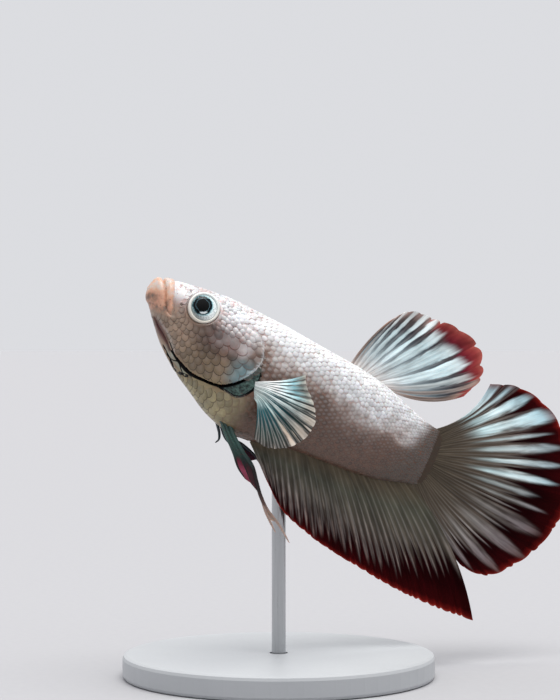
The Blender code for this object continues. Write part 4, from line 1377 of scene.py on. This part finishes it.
# %% Breast fins
PECTORAL_ROOT = [(16.95, -5.25), (17.3, -6.3), (17.6, -7.3)]
PECTORAL_EDGE = {
    "left": [
        (21.3, -1.9), (21.8, -3.3), (23.2, -5.2), (23.9, -7.3),
        (23.5, -10.1), (21.9, -12.2), (19.8, -13.0), (18.6, -12.7),
    ],
    "right": [
        (20.9, -1.6), (22.6, -2.6), (23.8, -4.0), (24.2, -5.4),
        (23.9, -6.8), (23.1, -8.0), (22.0, -8.8), (20.8, -9.2),
    ],
}
NO_RED = 1.2  # a border that would start past the edge
# The upper bands are whiter with narrow gaps, the lower ones darker with wide gaps: partly the fin's own
# colour and partly painted light from above and painted shade below.
PECTORAL_BANDS = [
    (width, NO_RED, coolness, gap)
    for width, coolness, gap in (
        (0.7, 1.0, 0.0), (0.9, 1.0, 0.3), (1.0, 1.0, 0.1), (1.0, 1.0, 0.2), (1.2, 0.9, 0.3),
        (1.1, 0.55, 0.25), (0.8, 0.5, 1.6), (1.5, 0.4, 0.3), (0.8, 0.3, 1.5), (1.5, 0.3, 0.35),
        (0.8, 0.2, 1.8), (1.4, 0.1, 0.8), (0.8, 0.1, 2.0), (0.6, 0.1, 3.2), (1.1, 0.1, 2.2),
        (0.5, 0.2, 3.4), (0.8, 0.3, 2.6), (1.2, 0.3, 3.0),
    )
]


def pectoral_place(word):
    """The rule for the breast fin of one side: its rays curve up towards the tips and out from the flank."""
    side = -1 if word == "left" else 1

    def place(i, r):
        """(a, q, h) at shares across and along the fin."""
        start = curve_through(PECTORAL_ROOT, i)
        ray = curve_through(PECTORAL_EDGE[word], i) - start
        across = np.stack([ray[..., 1], -ray[..., 0]], axis=-1)
        sag = 0.07 * (1 - i) ** 2 - 0.03 * i
        flat = start + ray * r[..., None] + across * (sag * 4 * r * (1 - r))[..., None]
        flare = 0.7 * ease((r + 0.06) / 0.22) + 2.6 * (1.25 * r - 0.25 * r**2)
        flare = flare + np.clip(r, 0, 1) * np.interp(i, [0, 0.4, 1], [-1.6, 0.9, 0.2])
        away = half_width_at(start[..., 0], start[..., 1]) + flare
        return np.stack([flat[..., 0], side * away, flat[..., 1]], axis=-1)

    return place


pectorals = [
    add_fin(
        f"pectoral_rays_{word}", f"pectoral_fin_{word}", pectoral_place(word), PECTORAL_BANDS, 18,
        ([0, 0.2, 0.45, 0.75, 1], [0.25, 0.35, 0.6, 0.5, 0.35]), ([0, 1], [1, 1]),
        thick=0.06, rib=0.09, notch=0.014, first_r=-0.04,
    )
    for word in PECTORAL_EDGE
]

# %% [markdown]
# ## Fin finishes
#
# All fins share one way of painting: a colour for the bands from root to edge, another for the gaps between
# them, cooler or warmer by place, and the red of the border over both, darkest where it starts. Only the
# colours differ, so one function makes the material of each fin from its own list of them.

# %% Fin material
FIN_MARKS = ("along", "band", "ray", "seed", "red", "cool", "gap", "show")


def fin_material(name, soft, bony, cool_band, warm_band, gap, border_colours):
    """Wet fin skin: thin enough to glow a little from behind, with ribs of bone under a clear film."""
    made, tree, surface = new_material(
        name, Coat_Roughness=0.25, Subsurface_Weight=0.1, Subsurface_Scale=0.0005, IOR=1.4,
        Subsurface_Radius=(1.0, 0.8, 0.7),
    )
    mark = {key: node(tree, "Attribute", attribute_name=key).outputs["Fac"] for key in FIN_MARKS}
    place = node(tree, "Attribute", attribute_name="place").outputs["Vector"]
    streaks = node(tree, "TexNoise", {"Vector": place, "Scale": 1.0, "Detail": 3.0, "Distortion": 0.3})
    cool = node(tree, "ValToRGB", {"Fac": mark["along"]}, cool_band)
    warm = node(tree, "ValToRGB", {"Fac": mark["along"]}, warm_band)
    dark = node(tree, "ValToRGB", {"Fac": mark["along"]}, gap)
    band_colour = node(tree, "Mix", {0: mark["cool"], 6: warm, 7: cool}, **COLOURS)
    seam = node(tree, "Math", {0: streaks, 1: 0.9, 2: -0.45}, operation="MULTIPLY_ADD")
    from_gap = node(tree, "Math", {0: mark["band"], 1: seam}, operation="ADD")
    past = node(tree, "Math", {0: mark["gap"], 1: soft}, operation="ADD")
    open_band = node(tree, "MapRange", {0: from_gap, 1: mark["gap"], 2: past}, **SMOOTH)
    shown = node(tree, "Math", {0: open_band, 1: mark["show"]}, operation="MULTIPLY")
    striped = node(tree, "Mix", {0: shown, 6: dark, 7: band_colour}, **COLOURS)
    bone = node(tree, "Math", {0: mark["ray"], 1: bony}, operation="MULTIPLY")
    ribbed = node(tree, "Mix", {0: bone, 6: striped, 7: paint("e9e3df")}, **COLOURS)
    red_place = node(tree, "MapRange", {0: mark["along"], 1: 0.6, 2: 1.0})
    red_colour = node(tree, "ValToRGB", {"Fac": red_place}, border_colours)
    bordered = node(tree, "Mix", {0: mark["red"], 6: ribbed, 7: red_colour}, **COLOURS)
    matt = node(tree, "MapRange", {0: mark["red"], 3: 0.12, 4: 0.02})
    film = node(tree, "Math", {0: matt, 1: 0.5}, operation="MULTIPLY")
    lightness = node(tree, "MapRange", {0: mark["seed"], 3: 0.82, 4: 1.12})
    shade = node(tree, "MapRange", {0: streaks, 1: 0.3, 2: 0.7, 3: 0.72, 4: 1.22})
    value = node(tree, "Math", {0: lightness, 1: shade}, operation="MULTIPLY")
    varied = node(tree, "HueSaturation", {"Color": bordered, "Value": value})
    gloss = node(tree, "MapRange", {0: streaks, 3: 0.3, 4: 0.5})
    finish(tree, surface, varied, gloss, streaks, 0.03, Specular_IOR_Level=matt, Coat_Weight=film)
    return made


print("a fin's material reads", len(FIN_MARKS), "values")

# %% Fin colours
# The border brightens to red at the very edge: partly the fins' own red and partly a painted glow of light
# through the thin edge.
MAROON = [(0.0, "160103"), (0.5, "1d0204"), (0.85, "2c0406"), (0.95, "560f0e"), (1.0, "8a2a22")]
# For each: its pieces, how soft the bands' edges are, how bony the rays, then the colours from root to edge
# of the cool bands, the warm bands, the gaps and the border.
finishes = {
    "dorsal_fin_skin": (
        [dorsal], 0.35, 0.12,
        [(0.0, "f0f3f3"), (0.25, "d9ecf0"), (0.6, "dcf6fb"), (1.0, "f6fbfb")],
        [(0.0, "a08a80"), (0.4, "84746c"), (0.7, "7c6a62"), (1.0, "a8806f")],
        [
            (0.0, "d8d2cf"), (0.2, "b0bfc5"), (0.45, "75838a"),
            (0.7, "34323a"), (0.85, "554746"), (1.0, "a58a84"),
        ],
        # The dorsal border also brightens at the very edge: partly its own red and partly a painted glow.
        [(0.0, "220f2e"), (0.35, "43152e"), (0.6, "6e222e"), (0.85, "8f3a3a"), (1.0, "ac5a52")],
    ),
    "anal_fin_skin": (
        [anal], 0.6, 0.12,
        [(0.0, "5b5648"), (0.5, "827e79"), (0.8, "7c6d68"), (1.0, "6a3a38")],
        [(0.0, "5a5041"), (0.2, "535245"), (0.5, "766c63"), (0.8, "7c6a64"), (1.0, "6a3a38")],
        [(0.0, "574d3e"), (0.2, "4c4c41"), (0.5, "453f38"), (0.7, "2c1a17"), (1.0, "2c0406")],
        MAROON,
    ),
    "tail_fin_skin": (
        [tail], 0.6, 0.12,
        [
            (0.0, "4f463a"), (0.2, "686259"), (0.38, "c4e0e3"),
            (0.6, "e4fcff"), (0.9, "accfda"), (1.0, "7a5a5e"),
        ],
        [(0.0, "4f463a"), (0.25, "544c41"), (0.5, "7d7975"), (0.8, "786d70"), (1.0, "6a4a46")],
        [(0.0, "4c4337"), (0.3, "4f463c"), (0.55, "554c45"), (0.72, "3a2a28"), (1.0, "2a0406")],
        MAROON,
    ),
    "breast_fin_skin": (
        pectorals, 0.4, 0.20,
        [
            (0.0, "f4f8f6"), (0.35, "ffffff"), (0.55, "d2f3f9"),
            (0.72, "7fb4bf"), (0.9, "7d8c88"), (1.0, "a9a79d"),
        ],
        [
            (0.0, "bfd0cc"), (0.28, "a9c8c9"), (0.5, "8d948b"),
            (0.68, "a48f7c"), (0.88, "ccb7a5"), (1.0, "ddcfc1"),
        ],
        [
            (0.0, "c4cfcd"), (0.12, "8fa6a7"), (0.3, "24555c"),
            (0.5, "0f3a40"), (0.75, "0f2b28"), (1.0, "24221e"),
        ],
        MAROON,
    ),
}
for name, (pieces, *colours) in finishes.items():
    dress(pieces, fin_material(name, *colours))

# %% [markdown]
# ## Belly fins
#
# The two belly fins are long feelers. The left one has two short rays in front, a long one behind them and
# a second thread that leaves it further out, and webs of skin join them. The right one is half hidden, and
# needs only a short ray, a long one and a small hooked ray at its root. A fan like the other fins would be
# too flat for them. So the rays are tapered tubes swept along curves, and the webs are thin closed sheets
# between two rays.

# %% Belly fin rays
# Each ray: its (a, q, h) route, its start and end as shares of the whole fin, and its half thickness.
FEELER_RAYS = {
    "left": [
        (
            [
                (15.2, 0.7, -10.6), (16.6, 1.3, -12.3), (18.5, 1.8, -14.2),
                (19.8, 2.1, -15.7), (21.1, 2.2, -16.5),
            ],
            0.0, 0.56, 0.20,
        ),
        (
            [
                (15.8, 0.9, -10.8), (17.2, 1.35, -12.3), (19.0, 1.85, -13.9),
                (20.6, 2.1, -15.3), (21.9, 2.2, -16.6),
            ],
            0.0, 0.58, 0.18,
        ),
        (
            [
                (16.4, 0.8, -10.6), (17.7, 1.3, -12.1), (19.6, 1.8, -13.6),
                (21.2, 2.1, -14.6), (22.5, 2.2, -16.1), (23.6, 2.2, -17.3),
                (25.2, 2.1, -18.5), (27.4, 1.9, -19.3), (30.1, 1.7, -20.7),
            ],
            0.0, 1.0, 0.30,
        ),
        ([(24.0, 2.15, -17.6), (25.3, 2.1, -18.9), (26.4, 2.2, -19.8), (27.5, 2.3, -20.6)], 0.66, 0.92, 0.20),
    ],
    "right": [
        ([(15.8, 0.9, -10.8), (17.6, 1.6, -12.2), (20.2, 2.3, -12.5), (22.4, 2.8, -12.9)], 0.0, 0.5, 0.18),
        (
            [
                (16.4, 0.9, -10.6), (18.0, 1.6, -11.7), (20.3, 2.3, -11.7),
                (23.4, 3.1, -12.2), (26.6, 4.1, -13.5), (30.0, 4.8, -15.6),
            ],
            0.0, 1.0, 0.22,
        ),
        (
            [
                (15.2, 0.9, -10.7), (16.0, 1.2, -11.5), (16.5, 1.3, -12.1),
                (16.75, 1.3, -12.8), (16.5, 1.3, -13.4),
            ],
            0.0, 0.1, 0.22,
        ),
    ],
}
# Each web: the two rays it joins, and how far along each it reaches.
WEBS = {"left": [(0, 1, 0.56, 0.58), (1, 2, 0.58, 0.58), (3, 2, 0.82, 0.82)], "right": [(0, 1, 0.5, 0.5)]}
print("belly fin rays:", {word: len(rays) for word, rays in FEELER_RAYS.items()})

# %% Tubes along the rays
TUBE_STEPS, TUBE_SIDES = 80, 12


def tube(path, radius, first):
    """Points and faces of a closed tube along a path, with a radius at each step."""
    along = np.gradient(path, axis=0)
    along /= np.linalg.norm(along, axis=1, keepdims=True)
    side = np.cross(along, (0.2, 0.1, 0.97))
    side /= np.linalg.norm(side, axis=1, keepdims=True)
    up = np.cross(side, along)
    turn = np.arange(TUBE_SIDES) / TUBE_SIDES * 2 * np.pi
    round_it = side[:, None] * np.cos(turn)[None, :, None] + up[:, None] * np.sin(turn)[None, :, None]
    points = (path[:, None] + round_it * radius[:, None, None]).reshape(-1, 3)
    index = np.arange(len(points)).reshape(-1, TUBE_SIDES) + first
    after = np.roll(index, -1, axis=1)
    quads = np.stack([index[:-1], after[:-1], after[1:], index[1:]], axis=2).reshape(-1, 4)
    return points, quads.tolist() + [index[0, ::-1].tolist(), index[-1].tolist()]


def ray_at(word, number, along):
    """Places on a belly fin's ray at shares along the whole fin."""
    route, start, end = FEELER_RAYS[word][number][:3]
    route = np.array(route) * (1, -1 if word == "left" else 1, 1)
    flat = curve_through(route, np.clip((along - start) / (end - start), 0, 1))
    return bend(*flat.T)


root, tip = ray_at("left", 2, np.array([0.0, 1.0]))
print("the left belly fin reaches", round(float(np.linalg.norm(tip - root)), 1), "mm from its root")

# %% Belly fins
RAY_TAPER = ([0, 0.1, 0.7, 0.95, 1], [1.2, 1, 0.75, 0.4, 0.15])
WEB_ROWS, WEB_COLUMNS, WEB_HALF = 50, 8, 0.06


def add_feeler(word):
    """A belly fin: its rays, and the webs between them."""
    points, faces, shares, kinds = [], [], [], []
    for number, (_, start, end, thick) in enumerate(FEELER_RAYS[word]):
        along = np.linspace(start, end, TUBE_STEPS)
        radius = thick * np.interp(np.linspace(0, 1, TUBE_STEPS), *RAY_TAPER)
        made, joined = tube(ray_at(word, number, along), radius, sum(map(len, points)))
        points.append(made)
        faces += joined
        shares.append(np.repeat(along, TUBE_SIDES))
        kinds.append(np.full(len(made), 1.0))
    for one, two, end_one, end_two in WEBS[word]:
        first = FEELER_RAYS[word][one][1] + 0.01
        rows_one = np.linspace(first, end_one, WEB_ROWS + 1)
        rows_two = np.linspace(first, end_two, WEB_ROWS + 1)
        part = np.linspace(0, 1, WEB_COLUMNS + 1)[None, :, None]
        side_one = ray_at(word, one, rows_one)[:, None]
        side_two = ray_at(word, two, rows_two)[:, None]
        sheet = side_one * (1 - part) + side_two * part
        made = two_layers(sheet, np.full(sheet.shape[:2], WEB_HALF))
        faces += (closed_sheet(WEB_ROWS, WEB_COLUMNS) + sum(map(len, points))).tolist()
        points.append(made)
        shares.append(np.tile(np.repeat(rows_one, WEB_COLUMNS + 1), 2))
        kinds.append(np.full(len(made), 0.85 if one == 1 else 0.0))
    points, shares = np.concatenate(points), np.concatenate(shares)
    # The right belly fin, on the far side, is marked for painted shade.
    far_side_shade = np.full(len(points), 1.0 if word == "right" else 0.0)
    values = {"along": shares, "ray": np.concatenate(kinds), "place": points, "far_side_shade": far_side_shade}
    flat = np.stack([0.02 + 0.96 * shares, 0.5 + 0.04 * (points[:, 2] % 1)], axis=1)
    corners = np.concatenate([np.ravel(face) for face in faces])
    piece = add_piece(f"pelvic_rays_{word}", to_world(points), faces, values, flat[corners])
    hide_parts(f"pelvic_fin_{word}")
    return piece


feelers = [add_feeler(word) for word in FEELER_RAYS]
print("belly fins:", [piece.name for piece in feelers])

# %% [markdown]
# ## The belly fins' finish
#
# The feelers start teal grey, turn black and wine red where the web ends, and thin out to pale brown
# threads. Four materials could meet there, but then the joints would show. Here colours run along the fin
# by its stored share of the length, once for the rays and once for the webs. The right fin, on the far
# side, is darkened towards navy as painted shade.

# %% Belly fin material
# Wet fin skin: a clear film over soft skin. It is teal at its root and wine red at the web's end, and its
# threads are pale brown.
CLOUDS = 1.1  # how many fit in a millimetre
feeler_skin, tree, surface = new_material(
    "belly_fin_skin",
    Coat_Weight=0.3,
    Coat_Roughness=0.25,
    Subsurface_Weight=0.15,
    Subsurface_Scale=0.0005,
    IOR=1.4,
)
along = node(tree, "Attribute", attribute_name="along").outputs["Fac"]
ray = node(tree, "Attribute", attribute_name="ray").outputs["Fac"]
place = node(tree, "Attribute", attribute_name="place").outputs["Vector"]
blotch = node(tree, "TexNoise", {"Vector": place, "Scale": CLOUDS, "Detail": 3.0})
shifted = node(tree, "Math", {0: blotch, 1: 0.08, 2: along}, operation="MULTIPLY_ADD")
ray_stops = [
    (0.0, "3c4f4c"), (0.22, "3c5852"), (0.38, "263836"), (0.45, "120608"), (0.60, "1c080b"),
    (0.68, "5d4038"), (0.76, "a58a7c"), (1.0, "b8a498"),
]
web_stops = [
    (0.0, "263532"), (0.30, "2e4843"), (0.38, "233a37"), (0.43, "5a1a2c"), (0.50, "96405a"),
    (0.60, "7a2a3e"), (0.72, "a58a7c"), (1.0, "b8a498"),
]
ray_colour = node(tree, "ValToRGB", {"Fac": shifted}, ray_stops)
web_colour = node(tree, "ValToRGB", {"Fac": shifted}, web_stops)
both = node(tree, "Mix", {0: ray, 6: web_colour, 7: ray_colour}, **COLOURS)
# Painted shade: the right belly fin is darkened towards deep navy.
far_side_shade = node(tree, "Attribute", attribute_name="far_side_shade").outputs["Fac"]
far_side_shade_share = node(tree, "Math", {0: far_side_shade, 1: 0.75}, operation="MULTIPLY")
both = node(tree, "Mix", {0: far_side_shade_share, 6: both, 7: paint("141b2a")}, **COLOURS)
gloss = node(tree, "MapRange", {0: blotch, 3: 0.3, 4: 0.5})
finish(tree, surface, both, gloss, blotch, 0.03)
dress(feelers, feeler_skin)

# %% [markdown]
# ## Stand
#
# The stand keeps its solids, because they are plain turned shapes, and only gets better finishes. The rod
# is steel, brushed along its length, and noise stretched the same way gives its scratches. The base is a
# disc of cast acrylic with a fine sanded face, which small even noise is enough for.

# %% Stand materials
# Brushed steel: a bright metal with very fine scratches along the rod, which stretch its highlights. They are
# drawn a fifth of a millimetre apart, coarser than real ones, so that they show.
SCRATCHES_ACROSS, SCRATCHES_ALONG = 5 / MM, 0.15 / MM
steel, tree, surface = new_material("brushed_steel", Metallic=1.0)
position = node(tree, "TexCoord").outputs["Object"]
scratch_scale = (SCRATCHES_ACROSS, SCRATCHES_ACROSS, SCRATCHES_ALONG)
stretched = node(tree, "Mapping", {"Vector": position, "Scale": scratch_scale})
scratches = node(tree, "TexNoise", {"Vector": stretched, "Scale": 1.0, "Detail": 4.0})
steel_colour = node(tree, "Mix", {0: scratches, 6: paint("a9abad"), 7: paint("c9cbcd")}, **COLOURS)
gloss = node(tree, "MapRange", {0: scratches, 3: 0.22, 4: 0.38})
finish(tree, surface, steel_colour, gloss, scratches, 0.004)

# Sanded acrylic: a pale plastic with a satin face, where the marks of the grit break the shine. They are
# drawn half a millimetre apart, coarser than real ones, so that they show.
GRIT, CLOUDINESS = 2 / MM, 0.12 / MM
acrylic, tree, surface = new_material("sanded_acrylic", Specular_IOR_Level=0.5)
position = node(tree, "TexCoord").outputs["Object"]
grit = node(tree, "TexNoise", {"Vector": position, "Scale": GRIT, "Detail": 3.0})
clouds = node(tree, "TexNoise", {"Vector": position, "Scale": CLOUDINESS})
acrylic_colour = node(tree, "Mix", {0: clouds, 6: paint("b2b5b9"), 7: paint("bcbfc2")}, **COLOURS)
gloss = node(tree, "MapRange", {0: grit, 3: 0.36, 4: 0.5})
finish(tree, surface, acrylic_colour, gloss, grit, 0.006)
for node_name, material in (("stand_rod", steel), ("stand_base", acrylic)):
    solid = bpy.data.objects[node_name]
    solid.data.materials.clear()
    dress([solid], material)

# %% [markdown]
# ## Floor, light and background
#
# A small fish in clear water is lit by the open surface above and behind it, so its back is bright and its
# side, towards the viewer, stays a shade darker. A sun with a very wide disc acts as that large soft lamp.
# The surround is pale wherever it is seen, but it shines more from above and behind than from the front.
# The floor is wide and pale too, and lit evenly, so that it meets the background almost without a line.

# %% Floor
FLOOR = 60.0  # metres to each side
floor_mesh = bpy.data.meshes.new("floor")
floor_corners = [(-FLOOR, -FLOOR, 0), (FLOOR, -FLOOR, 0), (FLOOR, FLOOR, 0), (-FLOOR, FLOOR, 0)]
floor_mesh.from_pydata(floor_corners, [], [(0, 1, 2, 3)])
floor = bpy.data.objects.new("floor", floor_mesh)
bpy.context.scene.collection.objects.link(floor)

# Matt paper: almost no shine, with fibres about a millimetre long that keep it from looking like a screen.
FIBRES = 0.9 / MM
paper, tree, surface = new_material("matt_paper", Specular_IOR_Level=0.1)
position = node(tree, "TexCoord").outputs["Object"]
fibres = node(tree, "TexNoise", {"Vector": position, "Scale": FIBRES, "Detail": 3.0})
paper_colour = node(tree, "Mix", {0: fibres, 6: paint("acacb0"), 7: paint("b2b2b5")}, **COLOURS)
flat = node(tree, "MapRange", {0: fibres, 3: 0.88, 4: 0.94})
finish(tree, surface, paper_colour, flat, fibres, 0.02)
dress([floor], paper)

# %% Lights and surround
BRIGHT_SIDE = (0.10, 0.25, 0.96)  # above the fish and a little behind it
surround = bpy.data.worlds.new("surround")
surround.use_nodes = True
tree = surround.node_tree
backdrop = tree.nodes["Background"]
direction = node(tree, "TexCoord").outputs["Generated"]
towards = node(tree, "VectorMath", {0: direction, 1: BRIGHT_SIDE}, operation="DOT_PRODUCT").outputs["Value"]
glow = node(tree, "MapRange", {0: towards, 1: -0.4, 2: 0.95, 3: 0.20, 4: 1.2}, **SMOOTH)
seen = node(tree, "LightPath").outputs["Is Camera Ray"]
strength = node(tree, "Mix", {0: seen, 2: glow, 3: 0.92})
tree.links.new(strength.outputs[0], backdrop.inputs["Strength"])
backdrop.inputs["Color"].default_value = paint("e4e5e9")
bpy.context.scene.world = surround

lamp_data = bpy.data.lights.new("window_above", "SUN")
lamp_data.energy = 2.8
lamp_data.angle = math.radians(50)
lamp_data.color = paint("fffdf8")[:3]
lamp = bpy.data.objects.new("window_above", lamp_data)
lamp.rotation_euler = Vector((-0.10, 0.10, -0.98)).to_track_quat("-Z", "Y").to_euler()
bpy.context.scene.collection.objects.link(lamp)
print("one soft lamp, and a surround that shines from", BRIGHT_SIDE)

# %% [markdown]
# ## Finish
#
# The last step sets the renderer's plain standard view of colour.

# %% Finish
bpy.context.scene.view_settings.view_transform = "Standard"
